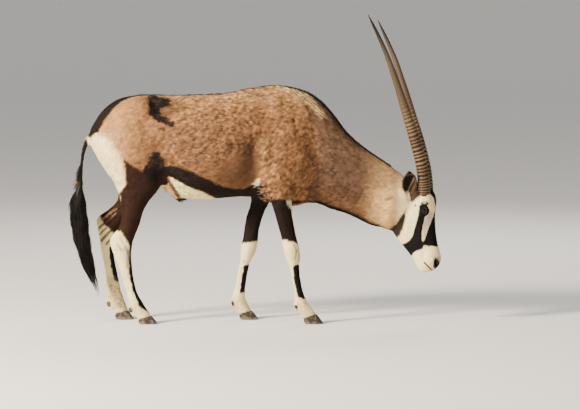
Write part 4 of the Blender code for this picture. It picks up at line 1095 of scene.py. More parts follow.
def ringed_claw(claw):
    """Round the edges of a claw's solid and press growth rings into its wall."""
    applied(claw, "BEVEL", width=HOOF_BEVEL, segments=2, limit_method="ANGLE", angle_limit=math.radians(50))
    applied(claw, "REMESH", mode="VOXEL", voxel_size=HOOF_VOXEL, adaptivity=0.0)
    places = smoothed(claw.data, points_of(claw.data), 1.0, HOOF_STEPS)
    put_points(claw.data, places)
    normals = normals_of(claw.data)
    height = places[:, 2]
    rings = np.sin(height / GROWTH_PITCH * 2 * math.pi + 0.4 * np.sin(places[:, 0] * 300.0))
    wall = ramp(height, 0.003, 0.008) * (np.abs(normals[:, 2]) < 0.75)
    places = places + normals * (GROWTH_DEPTH * rings * wall)[:, None]
    places[:, 2] = np.maximum(places[:, 2], 0.0)
    put_points(claw.data, places)


def dewclaw_rings(corners):
    """Rings of a small hooked claw in the place of a solid with these corners."""
    centre = corners.mean(0)
    axes = np.linalg.eigh(np.cov((corners - centre).T))[1]
    axes = axes * -np.sign(axes[2])
    reach = np.abs((corners - centre) @ axes).max(0)
    turn = np.linspace(0, 2 * math.pi, 20, endpoint=False)
    flat = np.outer(np.cos(turn) * reach[0], axes[:, 0]) + np.outer(np.sin(turn) * reach[1], axes[:, 1])
    return np.array([centre + axes[:, 2] * reach[2] * height + np.array((-back, 0.0, 0.0)) + size * flat
                     for height, size, back in DEWCLAW_FORM])


hoof_horn = coat_material("hoof_horn", 0.55, 500.0, 0.0005)
fetlocks = []
for foot in FEET:
    for part in ("claw_inner", "claw_outer", "dewclaw_inner", "dewclaw_outer"):
        node = foot + "_" + part
        claw = node_copy(node)
        if part.startswith("claw"):
            claw.name = "hoof_" + node
            ringed_claw(claw)
        else:
            corners = points_of(claw.data)
            fetlocks.append((node, corners.mean(0)))
            bpy.data.objects.remove(claw)
            claw = grid_mesh("hoof_" + node, dewclaw_rings(corners))
        places = points_of(claw.data)
        browning = ramp(cloud(places, 0.009, 3) + 0.5 * ramp(0.02 - places[:, 2], 0.0, 0.02), 0.4, 1.1)
        shade = np.tile(linear(HOOF_DARK), (len(places), 1))
        give_colour(claw.data, blended(shade, HOOF_DUST, browning * 0.75))
        claw.data.materials.append(hoof_horn)
        picked(claw)
        bpy.ops.object.shade_smooth()
        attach(claw, "root")
        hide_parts(node)

# ---------------------------------------------------------------- ears
# Thin cupped leaves of skin beside the horns, open to the side, with a dark inside, a black tip
# and rim. They belong to the skin and are joined to it.
EAR_ROOT = (412.2, 196.2, 0.060)
EAR_TIPS = {-1: (412.8, 172.4, 0.104), 1: (404.6, 178.0, 0.128)}
EAR_OPEN = (0.42, 0.87, 0.10)
EAR_LENGTH = 0.139
EAR_WIDTHS = [
    # share of the length, half the width, depth of the cup
    (-0.10, 0.012, 0.011), (0.05, 0.020, 0.019), (0.20, 0.0282, 0.0235), (0.38, 0.0368, 0.0235),
    (0.56, 0.0378, 0.0195), (0.72, 0.0322, 0.0148), (0.86, 0.0210, 0.0090), (0.96, 0.0098, 0.0040),
    (1.00, 0.0030, 0.0012)]
EAR_STRETCH = 8.0
EAR_WALL = 0.0034
EAR_STEPS = 54
EAR_ACROSS = 26
EAR_BACK = (168, 140, 112)
EAR_INSIDE = (30, 20, 15)
EAR_FLAP = (70, 48, 37)


def ear_sizes(level):
    """Half the width and the depth of an ear at shares of its length."""
    return [np.interp(level, ear_form[:, 0], ear_form[:, k]) / EAR_STRETCH for k in (1, 2)]


def ear_colours(level, spread, within, forward):
    """Pale back, dark inside with a brown flap and a pale line, black tip and rim."""
    shade = np.tile(linear(EAR_BACK), (*level.shape, 1))
    dark = ramp(level, 0.78, 0.90) + ramp(np.abs(spread), 0.93, 0.99) * ramp(level, 0.3, 0.45)
    dark = np.clip(dark, 0, 1)
    off_line = forward - np.interp(level, [0.05, 0.30, 0.75], [-0.45, 0.20, 0.90])
    brown = within * ramp(off_line, 0.0, 0.12) * (1 - ramp(level, 0.62, 0.8))
    pale = within * ramp(0.11 - np.abs(off_line), 0.0, 0.06) * (1 - ramp(level, 0.6, 0.8))
    rim = within * ramp(-forward, 0.80, 0.93) * ramp(level, 0.1, 0.2) * 0.8
    foot = (1.0 - ramp(level, 0.10, 0.22)) * ramp(-forward, -0.2, 0.2)
    for share, paint in ((dark, BLACK), (within * (1 - dark), EAR_INSIDE), (brown * 0.9, EAR_FLAP),
                         (np.maximum(pale, rim) * 0.8, EAR_BACK), (foot * 0.9, CREAM)):
        shade = blended(shade, paint, share)
    return np.vstack([shade.reshape(-1, 3), shade[0, :1], shade[-1, :1]])


ear_form = np.array(EAR_WIDTHS) * (1.0, EAR_STRETCH, EAR_STRETCH)
ear_form = even_path(ear_form, ear_form[:, 0], 0.004)[0]
steps = np.linspace(EAR_WIDTHS[0][0], 1.0, EAR_STEPS)
width, depth = ear_sizes(steps)
wall = np.minimum(EAR_WALL, 0.45 * width)
cup = ramp(steps, -0.02, 0.26)
fan = np.linspace(-0.5, 0.5, EAR_ACROSS) * math.pi
back = np.outer(depth, np.cos(fan))
front = np.outer((depth - wall) * cup, np.cos(fan)) + np.outer(cup, 0.0010 * np.sin(fan * 7.0)) - 0.0009
back_side = np.outer(width + 0.0012 * np.sin(steps * 21.0), np.sin(fan))
front_side = np.outer(width - 0.35 * wall, np.sin(fan))
deep = np.concatenate([back, front[:, ::-1]], axis=1)[:, :, None]
aside = np.concatenate([back_side, front_side[:, ::-1]], axis=1)[:, :, None]
within = np.repeat((0.0, 1.0), EAR_ACROSS) * np.ones((EAR_STEPS, 1))
spread = np.concatenate([np.sin(fan), np.sin(fan)[::-1]]) * np.ones((EAR_STEPS, 1))
level = np.repeat(steps[:, None], 2 * EAR_ACROSS, axis=1)
ears = []
for sign in (-1, 1):
    root = head_place(EAR_ROOT[0], EAR_ROOT[1], sign * EAR_ROOT[2])
    tip = head_place(EAR_TIPS[sign][0], EAR_TIPS[sign][1], sign * EAR_TIPS[sign][2])
    along = unit(tip - root)
    opening = EAR_OPEN[0] * head_fore + sign * EAR_OPEN[1] * head_side + np.array((0, 0, EAR_OPEN[2]))
    opening = unit(opening - along * (opening @ along))
    across = np.cross(along, opening)
    forward = 1.0 if across @ head_fore > 0 else -1.0
    middle = root + np.outer(steps, along) * EAR_LENGTH
    ear = grid_mesh("ear_skin", middle[:, None, :] + aside * across - deep * opening)
    ear_shade = ear_colours(level, spread, within, spread * forward)
    give_colour(ear.data, ear_shade)
    ear.data.materials.append(hide_hair)
    ears.append((ear, sign, root, along, opening, across * forward, ear_shade))

# ---------------------------------------------------------------- coat
# Short hair that lies flat over the whole skin, in small pointed tufts that follow its lie: back
# along the trunk, up the face and the neck towards the withers, down the legs.
TUFT_SEED = 11
UV_PATCH = 0.003
TUFT_FACES = np.array([(0, 2, 1), (1, 2, 3), (3, 2, 0), (0, 1, 3)])
TUFT_PATCH = np.array([(0.0, 0.0), (1.0, 0.0), (0.5, 0.4), (0.5, 1.0)])
TUFT_GLOW = np.array((0.86, 0.86, 1.0, 1.10))
TUFT_ROOT = 0.0004
BODY_HAIR = 0.0145
FACE_HAIR = 0.0072
SHIN_HAIR = 0.0085
chance = np.random.RandomState(TUFT_SEED)


class Surface:
    """Triangles of a mesh, to root tufts on."""

    def __init__(self, obj):
        mesh = obj.data
        mesh.calc_loop_triangles()
        corners = np.empty(len(mesh.loop_triangles) * 3, dtype=np.int32)
        mesh.loop_triangles.foreach_get("vertices", corners)
        self.corners = corners.reshape(-1, 3)
        self.points = points_of(mesh)
        self.normals = normals_of(mesh)
        a, b, c = (self.points[self.corners[:, k]] for k in range(3))
        self.middles = (a + b + c) / 3
        self.areas = 0.5 * np.linalg.norm(np.cross(b - a, c - a), axis=1)

    def roots(self, chosen, count):
        """Evenly spread root points and their normals on the chosen share of each triangle."""
        total = np.cumsum(self.areas * chosen)
        spots = (np.arange(count) + chance.rand(count)) / count * total[-1]
        which = np.minimum(np.searchsorted(total, spots), len(total) - 1)
        u, v = np.sqrt(chance.rand(count)), chance.rand(count)
        shares = np.stack([1 - u, u * (1 - v), u * v], axis=1)
        self.where = (self.corners[which], shares[:, :, None])
        return self.mixed(self.points), unit(self.mixed(self.normals))

    def mixed(self, values):
        """Values of the corners of the last roots' triangles, mixed at the roots."""
        return (values[self.where[0]] * self.where[1]).sum(1)


def laid(lie, normals):
    """Directions of hair, bent down on to the skin."""
    return unit(lie - normals * (lie * normals).sum(1)[:, None])


def lie_of(points, normals):
    """Way the hair lies at each point."""
    column, row = side_grid(points)
    on_head = head_weight(points)
    on_leg = ramp(0.64 - points[:, 2], 0.0, 0.12) * ramp(0.36 - points[:, 0], 0.0, 0.05)
    thigh = ramp(150.0 - column, -8.0, 30.0) * ramp(row, 112.0, 150.0)
    shoulder = np.exp(-0.5 * ((column - 282.0) / 20.0) ** 2) * ramp(row, 110.0, 160.0)
    up_neck = ramp(column, 292.0, 335.0) * ramp(205.0 - row, -10.0, 90.0)
    cheek = ramp(412.0 - face_grid(points)[0], 0.0, 16.0)
    up_face = np.array((0.0, 0.0, 1.0)) - head_fore * (0.10 + 0.9 * cheek)[:, None]
    lie = np.tile((-1.0, 0.0, -0.30), (len(points), 1))
    for way, share in (((-0.40, 0.0, -1.0), thigh), ((-0.55, 0.0, -0.80), shoulder * 0.8),
                       ((-0.85, 0.0, 0.45), up_neck), ((-0.15, 0.0, -1.0), on_leg), (up_face, on_head)):
        lie += (way - lie) * share[:, None]
    swirl = np.stack([cloud(points, 0.035, k) - 0.5 for k in (0, 1, 2)], axis=1)
    lie = unit(lie) + swirl * (0.75 - 0.35 * on_head)[:, None]
    return laid(lie + (chance.rand(len(points), 3) - 0.5) * 0.35, normals)


def joined_mesh(name, points, corners, starts):
    """Smooth object of points, the corners of its faces in turn, and where each face starts."""
    mesh = bpy.data.meshes.new(name)
    mesh.vertices.add(len(points))
    mesh.vertices.foreach_set("co", points.astype(np.float32).ravel())
    mesh.loops.add(len(corners))
    mesh.loops.foreach_set("vertex_index", corners.astype(np.int32))
    mesh.polygons.add(len(starts))
    mesh.polygons.foreach_set("loop_start", starts.astype(np.int32))
    mesh.polygons.foreach_set("use_smooth", np.ones(len(starts), dtype=bool))
    mesh.update(calc_edges=True)
    return new_object(name, mesh)


def hair_finish(hair, colours, unwrap, patch, corners, material):
    """Colours, and a map in which each tuft is a small patch at its root's place on an unwrap."""
    give_colour(hair.data, np.clip(colours, 0, 1).reshape(-1, 3))
    flat = np.clip(unwrap, 0.002, 0.994)[:, None, :] + patch[None] * UV_PATCH
    layer = hair.data.uv_layers.new(name="OFBake")
    layer.uv.foreach_set("vector", flat.reshape(-1, 2)[corners].astype(np.float32).ravel())
    hair.data.materials.append(material)


def tufts(name, places, normals, lie, length, width, lift, colours, unwrap, material):
    """One joined mesh of small closed spikes, four faces each, that lie along the skin."""
    count = len(places)
    across = np.cross(normals, lie)
    half = across * (width * 0.5)[:, None]
    sunk = places - normals * TUFT_ROOT
    hump = sunk + lie * (length * 0.30)[:, None] + normals * (0.0006 + width * 0.30 + lift * 0.25)[:, None]
    tip = sunk + lie * length[:, None] + normals * (lift + TUFT_ROOT)[:, None]
    tip += across * ((chance.rand(count) - 0.5) * length * 0.25)[:, None]
    points = np.stack([sunk - half, sunk + half, hump, tip], axis=1).reshape(-1, 3)
    corners = (np.arange(count)[:, None, None] * 4 + TUFT_FACES[None]).reshape(-1)
    made = joined_mesh(name, points, corners, np.arange(count * 4) * 3)
    bright = (0.84 + 0.32 * chance.rand(count))[:, None] * TUFT_GLOW[None, :]
    hair_finish(made, colours[:, None, :] * bright[:, :, None], unwrap, TUFT_PATCH, corners, material)
    soft = np.stack([normals * 0.75 - across * 0.55, normals * 0.75 + across * 0.55,
                     normals - lie * 0.1, normals + lie * 0.35], axis=1)
    made.data.normals_split_custom_set_from_vertices(unit(soft).reshape(-1, 3).astype(np.float32))
    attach(made, "root")
    return made


NOSTRIL_BARE = (434.6, 260.4, 436.6, 267.4)
MOUTH_BARE = (424.4, 263.0, 434.0, 272.6)


def bare(points):
    """Where no hair grows: eye openings, nostrils and the slit of the mouth."""
    face_column, face_row, side = face_grid(points)
    none = line_distance(face_column, face_row, NOSTRIL_BARE) < 1.5
    none |= line_distance(face_column, face_row, MOUTH_BARE) < 0.25
    none &= head_weight(points) > 0.5
    for axes in eye_axes.values():
        far, ray, almond = lid_place(points, *axes)
        none |= (far < EYE_RADIUS + 0.008) & (almond < 1.12) & (ray @ axes[1] > 0.40)
    return none


TRUNK_MIDDLE_Z = 0.84
CHEST_FROM = -0.32
surface = Surface(skin)
middles = surface.middles
x, y, z = middles.T
haired = ~bare(middles)
low_leg = (z < 0.56) & (x < 0.34) & (x > DOCK_X)
tail_part = (x < DOCK_X - 0.003) & (z < 0.93)
face_part = head_weight(middles) > 0.5
neck_part = (x > 0.26) & ~face_part & ~low_leg
trunk_part = ~(low_leg | face_part | neck_part | tail_part)
coat_hair = coat_material("coat_hair", 0.70, 900.0, 0.0004)
COAT_PIECES = [
    # name, where it grows, number of tufts
    ("coat_rump_right", trunk_part & (y < 0) & (x < CHEST_FROM), 38000),
    ("coat_rump_left", trunk_part & (y >= 0) & (x < CHEST_FROM), 38000),
    ("coat_chest_right", trunk_part & (y < 0) & (x >= CHEST_FROM), 38000),
    ("coat_chest_left", trunk_part & (y >= 0) & (x >= CHEST_FROM), 38000),
    ("coat_neck", neck_part, 42000),
    ("coat_head", face_part, 45000),
    ("coat_legs_fore", low_leg & (x > -0.3), 34000),
    ("coat_legs_hind", (low_leg & (x <= -0.3)) | tail_part, 38000),
]


def full_turn(up, aside):
    """Share of the way round, from 0 to 1."""
    return np.arctan2(up, aside) / (2 * math.pi) + 0.5


def stretched(values):
    """Values spread from 0 to 1."""
    return (values - values.min()) / (values.max() - values.min())


def unwrap_of(name, places):
    """Place of each root on a flat unwrap of its part of the skin."""
    x, y, z = places.T
    if name.startswith(("coat_rump", "coat_chest")):
        around = np.arctan2(z - TRUNK_MIDDLE_Z, np.abs(y)) / math.pi + 0.5
        return np.stack([stretched(x), around], axis=1)
    if name == "coat_neck":
        axis = 1.02 - (x - 0.2) * 0.62
        return np.stack([stretched(x), full_turn(z - axis + 0.14, y)], axis=1)
    if name == "coat_head":
        fore, side, up = head_frame(places)
        return np.stack([full_turn(fore + 0.02 + (0.55 - up) * 0.12, side), stretched(up)], axis=1)
    high = stretched(z)
    middle_x = np.zeros(len(x))
    for side in (-1, 1):
        for step in range(40):
            band = (np.sign(y) == side) & (np.floor(high * 39.99).astype(int) == step)
            middle_x[band] = x[band].mean() if band.any() else 0.0
    turned = full_turn(np.abs(y) - 0.113, x - middle_x)
    return np.stack([turned * 0.49 + np.where(y < 0, 0.0, 0.505), high], axis=1)


for name, part, count in COAT_PIECES:
    small = np.ones(len(middles))
    if name == "coat_head":
        small += 0.8 * ramp(0.45 - z, 0.0, 0.1)
    if name.startswith("coat_legs"):
        small += 1.2 * ramp(0.42 - z, 0.0, 0.15)
    places, normals = surface.roots((part & haired) * small, count)
    on_head = head_weight(places)
    shin = ramp(0.56 - places[:, 2], 0.0, 0.14) * (places[:, 0] < 0.34)
    clump = cloud(places, 0.016, 3)
    length = BODY_HAIR + (FACE_HAIR - BODY_HAIR) * on_head
    length = length + (SHIN_HAIR - length) * shin
    muzzle = ramp(0.42 - places[:, 2], 0.0, 0.12) * on_head
    length = length * (1.0 - 0.35 * muzzle) * (0.75 + 0.5 * chance.rand(count))
    width = length * 0.20
    lift = length * (0.06 + 0.12 * clump)
    behind = ramp(-normals[:, 0], 0.1, 0.7) * np.exp(-0.5 * ((places[:, 2] - 0.11) / 0.022) ** 2)
    length = length * (1.0 + 1.6 * behind * shin) * np.where(places[:, 2] < 0.06, 0.75, 1.0)
    # Pebbled mottle: partly the coat's own tone, partly painted light and shade of its rough clumps
    pebble_light_and_tone = ramp(cloud(places, 0.0125, 1), 0.25, 0.75) - 0.55 + 0.5 * (cloud(places, 0.0075, 2) - 0.5)
    shade = (0.90 + 0.20 * clump) * (1.0 + 0.62 * pebble_light_and_tone * roughness(places))
    piece = tufts(name, places, normals, lie_of(places, normals), length, width, lift,
                  coat_colour(places, normals) * shade[:, None], unwrap_of(name, places), coat_hair)

ear_surfaces = [(Surface(ear), *rest) for ear, *rest in ears]
joined([skin] + [ear[0] for ear in ears])
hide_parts("ear_right", "ear_left")

# ---------------------------------------------------------------- ear hair
# Short fur on the back of the ears, sparse fur inside, and long pale hair along the front edge and
# at the base.
EAR_FRINGE = (124, 96, 70)
EAR_FUR = 4200
FRINGE_HAIRS = 420
for surface, sign, root, along, opening, ahead, shade in ear_surfaces:
    side_name = "left" if sign > 0 else "right"
    level = ((surface.middles - root) @ along) / EAR_LENGTH
    places, normals = surface.roots((level > -0.02).astype(float), EAR_FUR)
    base = surface.mixed(shade)
    level = ((places - root) @ along) / EAR_LENGTH
    lie = laid(along + 0.30 * (chance.rand(EAR_FUR, 3) - 0.5), normals)
    length = (0.0085 - 0.0035 * ramp(level, 0.6, 1.0)) * (0.7 + 0.6 * chance.rand(EAR_FUR))
    across = np.cross(along, opening)
    spread = np.stack([full_turn((places - root) @ across, (places - root) @ opening),
                       np.clip(level, 0, 1)], axis=1)
    fur = tufts("coat_ear_" + side_name, places, normals, lie, length, length * 0.18, length * 0.12,
                base, spread, coat_hair)
    level = 0.02 + 0.76 * chance.rand(FRINGE_HAIRS) ** 1.3
    edge = root + np.outer(level * EAR_LENGTH, along) + np.outer(ear_sizes(level)[0] * 0.96, ahead)
    edge -= np.outer(0.003 + 0.009 * chance.rand(FRINGE_HAIRS), opening)
    inward = along * 0.85 - ahead * 0.35 + opening * 0.10
    inward = unit(inward + 0.35 * (chance.rand(FRINGE_HAIRS, 3) - 0.5))
    up = laid(np.tile(opening, (FRINGE_HAIRS, 1)), inward)
    length = (0.026 - 0.014 * level) * (0.6 + 0.7 * chance.rand(FRINGE_HAIRS))
    pale = np.tile(linear(EAR_FRINGE), (FRINGE_HAIRS, 1)) * (1.0 - 0.55 * ramp(level, 0.5, 0.8))[:, None]
    spread = np.stack([level, 0.5 + 0.4 * chance.rand(FRINGE_HAIRS)], axis=1)
    fringe = tufts("ear_fringe_" + side_name, edge, up, inward, length, length * 0.045, length * 0.1,
                   pale, spread, coat_hair)

# ---------------------------------------------------------------- mane
# A black line of short upright hair runs along the middle of the back and grows into a stiff low
# mane on the neck.
MANE_BLACK = (19, 15, 13)
MANE_HALF = 0.0075
MANE_START = 140
MANE_END = 400
MANE_HAIRS = 10000
surface = Surface(skin)
middles = surface.middles
face_up = surface.normals[surface.corners[:, 0], 2]
column = middles[:, 0] / GRID + MID_COLUMN
crest_y = np.zeros(MANE_END)
for step in range(MANE_START, MANE_END):
    band = (np.abs(column - step) < 1.0) & (middles[:, 2] > 0.7)
    highest = middles[band, 2].max() - 0.004
    crest_y[step] = middles[band & (middles[:, 2] > highest), 1].mean()
crest_y = np.convolve(crest_y, np.ones(9) / 9.0, "same")
away = np.abs(middles[:, 1] - np.interp(column, np.arange(MANE_END), crest_y))
narrow = MANE_HALF * (1.0 + 0.3 * ramp(column, 290, 330))
chosen = (away < narrow) & (face_up > 0.25) & (column > MANE_START) & (column < MANE_END - 8)
places, normals = surface.roots(chosen * (1.0 + 1.5 * ramp(column, 285.0, 315.0)), MANE_HAIRS)
column = places[:, 0] / GRID + MID_COLUMN
on_neck = ramp(column, 285.0, 315.0) * (1.0 - 0.45 * ramp(column, 350.0, 385.0))
length = (0.012 + 0.006 * on_neck) * (0.6 + 0.7 * chance.rand(MANE_HAIRS))
lie = laid(np.array((-1.0, 0.0, 0.0)) + 0.45 * (chance.rand(MANE_HAIRS, 3) - 0.5), normals)
stand = length * (0.42 + 0.16 * on_neck)
dark = np.tile(linear(MANE_BLACK), (MANE_HAIRS, 1))
spread = np.stack([(column - MANE_START) / (MANE_END - MANE_START), places[:, 1] / 0.2 + 0.45], axis=1)
mane = tufts("mane", places, normals, lie, np.sqrt(np.maximum(length ** 2 - stand ** 2, 1e-8)),
             length * 0.13, stand, dark, spread, coat_hair)

# ---------------------------------------------------------------- tail hair
# The tail ends in a long black tassel of wavy hair that grows from the last part of the dock and
# reaches below the hocks.
TAIL_LINE = [
    # column and row of the side drawing, half the width
    (80.6, 178.0, 0.0120), (80.2, 186.0, 0.0215), (78.6, 194.0, 0.034), (78.0, 203.0, 0.044),
    (78.5, 214.0, 0.048), (79.6, 225.0, 0.047), (81.2, 237.0, 0.0455), (83.8, 249.0, 0.0425),
    (86.6, 260.0, 0.038), (89.4, 270.0, 0.033), (92.6, 279.0, 0.025), (95.6, 287.0, 0.016),
    (98.4, 298.0, 0.003)]
TASSEL_LOCKS = 2100
TASSEL_STEPS = 11
TASSEL_FLATTEN = 0.80
CORE_DARK = (14, 12, 11)
tail_points = [((column - MID_COLUMN) * GRID, 0.0, (FLOOR_ROW - row) * GRID / math.cos(TILT))
               for column, row, half in TAIL_LINE]
tail_path, tail_half, tail_gone = even_path(tail_points, [line[2] for line in TAIL_LINE], 0.004)
tail_reach = tail_gone[-1]


def locks(name, paths, widths, colours, spread, material):
    """One joined mesh of long three-sided locks, each pointed at its end."""
    count, steps = paths.shape[:2]
    along = unit(np.gradient(paths, axis=1))
    side = unit(np.cross(along, unit(chance.rand(count, 1, 3) - 0.5)))
    up = np.cross(along, side)
    edges = []
    for turn in (0.0, 2.2, 4.1):
        flat = math.cos(turn) * side + 0.45 * math.sin(turn) * up
        edges.append(paths + flat * widths[:, :, None] * 0.5)
    points = np.stack(edges, axis=2).reshape(-1, 3)
    index = np.arange(count * steps * 3).reshape(count, steps, 3)
    turned = np.roll(index, -1, axis=2)
    quads = np.stack([index[:, :-1], turned[:, :-1], turned[:, 1:], index[:, 1:]], axis=-1).reshape(-1, 4)
    caps = np.concatenate([index[:, 0, ::-1], index[:, -1]])
    corners = np.concatenate([quads.ravel(), caps.ravel()])
    starts = np.concatenate([np.arange(len(quads)) * 4, quads.size + np.arange(len(caps)) * 3])
    made = joined_mesh(name, points, corners, starts)
    shade = colours[:, None, None, :] * np.linspace(0.75, 1.25, steps)[None, :, None, None]
    patch = np.stack([np.repeat(np.linspace(0, 1, steps), 3), np.tile((0.0, 0.5, 1.0), steps)], axis=1)
    hair_finish(made, np.repeat(shade, 3, axis=2), spread, patch, corners, material)
    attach(made, "root")
    return made


lock_start = tail_reach * (0.01 + 0.34 * chance.rand(TASSEL_LOCKS) ** 1.4)
lock_length = tail_reach * (0.38 + 0.30 * chance.rand(TASSEL_LOCKS))
lock_end = np.minimum(lock_start + lock_length, tail_reach * (1.0 - 0.24 * chance.rand(TASSEL_LOCKS) ** 1.4))
lock_turn = 2 * math.pi * chance.rand(TASSEL_LOCKS)
lock_share = np.sqrt(0.10 + 0.62 * chance.rand(TASSEL_LOCKS)) + 0.14 * (chance.rand(TASSEL_LOCKS) > 0.94)
run = np.linspace(0.0, 1.0, TASSEL_STEPS)
gone = lock_start[:, None] + np.outer(lock_end - lock_start, run)
half = np.interp(gone, tail_gone, tail_half[:, 0])
leave = ramp(gone - lock_start[:, None], -0.01, 0.10)
share = lock_share[:, None] * (0.25 + 0.75 * leave)
wave = 0.13 * np.sin(gone * 62.0 + lock_turn[:, None] * 3.0)
angle = lock_turn[:, None] + 0.35 * np.sin(gone * 21.0 + 5.0 * lock_share[:, None]) * run
paths = np.stack([np.interp(gone, tail_gone, tail_path[:, k]) for k in range(3)], axis=-1)
paths[:, :, 0] += half * (share * np.cos(angle) + wave * 0.6)
paths[:, :, 1] += half * (share * np.sin(angle) + wave * 0.4) * TASSEL_FLATTEN
paths[:, :, 2] += 0.002 * np.sin(gone * 80.0)
lock_width = np.outer(0.0034 * (0.6 + 0.8 * chance.rand(TASSEL_LOCKS)), 1.0 - 0.92 * run ** 2.5)
lock_width = lock_width * (0.6 + 0.4 * ramp(run, 0.0, 0.15))
shine = 0.6 + 1.1 * chance.rand(TASSEL_LOCKS)
black = linear(MANE_BLACK) * shine[:, None]
tassel_hair = coat_material("tassel_hair", 0.48, 1200.0, 0.0003)
tassel = locks("tail_tassel_hair", paths, lock_width, black,
               np.stack([lock_turn / (2 * math.pi), lock_start / tail_reach], axis=1), tassel_hair)
steps = np.arange(0, int(len(tail_path) * 0.86), 2)
core_half = 0.62 * tail_half[steps, 0] * ramp(1.0 - steps / steps[-1], -0.02, 0.35)
core = grid_mesh("tail_core", tube_rings(tail_path[steps], core_half, 14))
give_colour(core.data, np.tile(linear(CORE_DARK), (len(core.data.vertices), 1)))
core.data.materials.append(tassel_hair)
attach(core, "root")
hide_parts("tail_tassel")

# ---------------------------------------------------------------- long body hair
# Longer hair where the coat breaks the outline: the dark brush at the end of the sheath, the back
# of the fetlocks, the back of the dock, the foot of the ears, and the lashes.
BRUSH = (38, 27, 21)
EAR_TUFT = (232, 216, 180)
DOWN_BACK = (-0.45, 0.0, -0.9)
EAR_TUFT_SPREAD = (0.011, 0.012, 0.013)
EAR_TUFT_LIE = (-0.35, 0.0, -0.9)
STRAY = [
    # name, middle of the roots, their spread, way of the hair, length, width, count, colour, slot
    ("sheath_brush", (-0.367, 0.0, 0.600), (0.012, 0.010, 0.010), (0.45, 0.0, -0.9), 0.015, 0.0016,
     260, BRUSH, "trunk"),
    ("dock_brush", (-0.872, 0.0, 0.715), (0.006, 0.008, 0.040), DOWN_BACK, 0.050, 0.0024,
     420, MANE_BLACK, "tail"),
    ("dock_wisp", (-0.872, 0.0, 0.700), (0.006, 0.006, 0.010), (-0.80, 0.0, -0.60), 0.052, 0.0016,
     60, HOOF_DUST, "tail"),
    ("ear_tuft_right", head_place(408.4, 195.0, -0.064), EAR_TUFT_SPREAD, EAR_TUFT_LIE, 0.015, 0.0013,
     700, EAR_TUFT, "ear"),
    ("ear_tuft_left", head_place(404.4, 196.0, 0.064), EAR_TUFT_SPREAD, EAR_TUFT_LIE, 0.015, 0.0013,
     700, EAR_TUFT, "ear"),
]
for node, centre in fetlocks:
    STRAY.append((node + "_hair", centre + np.array((0.006, 0.0, 0.010)), (0.011, 0.009, 0.010),
                  (-0.55, 0.0, -0.85), 0.019, 0.0015, 220, WHITE, "pastern"))
for name, middle, extent, way, reach, wide, count, paint, slot_name in STRAY:
    near = np.abs(middles - np.array(middle)) < np.array(extent) * 2.0
    places, normals = surface.roots(near.all(1), count)
    lie = unit(np.array(way) + 0.35 * (chance.rand(count, 3) - 0.5))
    length = reach * (0.5 + 0.7 * chance.rand(count))
    hair = tufts(name, places, laid(normals, lie), lie, length, np.full(count, wide), length * 0.05,
                 np.tile(linear(paint), (count, 1)), chance.rand(count, 2) * 0.99, coat_hair)

LASHES = 46
LASH_LENGTH = 0.0085
LASH_WIDTH = 0.0007
for name, (middle, out, corner, brow) in eye_axes.items():
    turn = np.linspace(0.12, 0.88, LASHES) * math.pi
    along = LID_LENGTH * np.cos(turn) * 0.96
    above = LID_HEIGHT * (1 - (along / LID_LENGTH) ** 2)
    places = unit(np.outer(along, corner) + np.outer(above, brow) + out * EYE_RADIUS * 0.72)
    places = middle + places * (EYE_RADIUS + 0.0012)
    way = unit(out * 0.75 + brow * 0.62 + np.outer(np.cos(turn) * 0.25, corner)
               + 0.12 * (chance.rand(LASHES, 3) - 0.5))
    up = unit(brow - way * (way @ brow)[:, None])
    length = LASH_LENGTH * (0.7 + 0.5 * chance.rand(LASHES))
    lash = tufts(name.replace("eye_", "lashes_"), places, up, way, length, np.full(LASHES, LASH_WIDTH),
                 length * 0.25, np.tile(linear(BLACK), (LASHES, 1)), chance.rand(LASHES, 2) * 0.99, coat_hair)

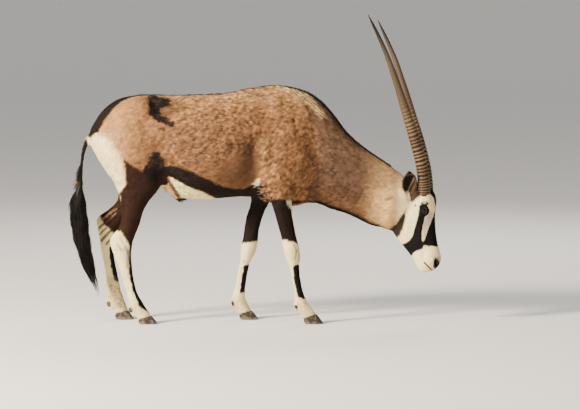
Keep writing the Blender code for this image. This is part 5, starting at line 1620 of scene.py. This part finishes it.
# ---------------------------------------------------------------- studio
# Plain pale floor that rises far away into an even backdrop, soft lamps, and a camera square to the
# animal's right side. None of it belongs to the animal.
FLOOR_SIZE = 150.0
FLOOR_CUTS = 150
FLOOR_FLAT = 26.0
FLOOR_RISE = 0.016
FLOOR_GAP = 0.001
FLOOR_COLOUR = (0.80, 0.77, 0.72, 1.0)
BACKDROP_COLOUR = (0.95, 0.96, 1.0, 1.0)
BACKDROP_STRENGTH = 0.60
bpy.ops.mesh.primitive_grid_add(x_subdivisions=FLOOR_CUTS, y_subdivisions=FLOOR_CUTS, size=FLOOR_SIZE)
floor = bpy.context.active_object
floor.name = "floor"
places = points_of(floor.data)
beyond = np.maximum(np.hypot(places[:, 0], places[:, 1]) - FLOOR_FLAT, 0.0)
places[:, 2] = FLOOR_RISE * beyond ** 2 - FLOOR_GAP
put_points(floor.data, places)
bpy.ops.object.shade_smooth()
floor.data.materials.append(new_material("floor_paint", 0.9, Base_Color=FLOOR_COLOUR)[0])
world = bpy.data.worlds.new("studio")
bpy.context.scene.world = world
world.use_nodes = True
backdrop = world.node_tree.nodes["Background"]
backdrop.inputs["Color"].default_value = BACKDROP_COLOUR
backdrop.inputs["Strength"].default_value = BACKDROP_STRENGTH
LAMPS = [
    # name, place, width, power, tint
    ("key", (-6.5, -5.5, 4.6), 2.2, 3000.0, (1.0, 0.90, 0.76)),
    ("fill", (5.0, -6.0, 2.4), 3.0, 110.0, (0.95, 0.97, 1.0)),
    ("back", (1.5, 6.0, 4.6), 2.5, 220.0, (1.0, 0.97, 0.92)),
]
LAMPS_AIM = Vector((0.0, 0.0, 0.7))
for name, place, size, power, tint in LAMPS:
    bpy.ops.object.light_add(type="AREA", location=place)
    lamp = bpy.context.active_object
    lamp.name = "lamp_" + name
    lamp.data.shape = "DISK"
    lamp.data.size = size
    lamp.data.energy = power
    lamp.data.color = tint
    aim = LAMPS_AIM - Vector(place)
    lamp.rotation_euler = aim.to_track_quat("-Z", "Y").to_euler()

LOOK_AT = Vector((0.18, 0.0, 0.5864))
DISTANCE = 20.0
SENSOR = 36.0
PICTURE_WIDTH = 2.9
bpy.ops.object.camera_add()
camera = bpy.context.active_object
camera.location = LOOK_AT + Vector((0.0, -math.cos(TILT), math.sin(TILT))) * DISTANCE
camera.rotation_euler = (math.pi / 2 - TILT, 0.0, 0.0)
camera.data.sensor_width = SENSOR
camera.data.lens = SENSOR * DISTANCE / PICTURE_WIDTH
camera.data.clip_end = 100.0
bpy.context.scene.camera = camera
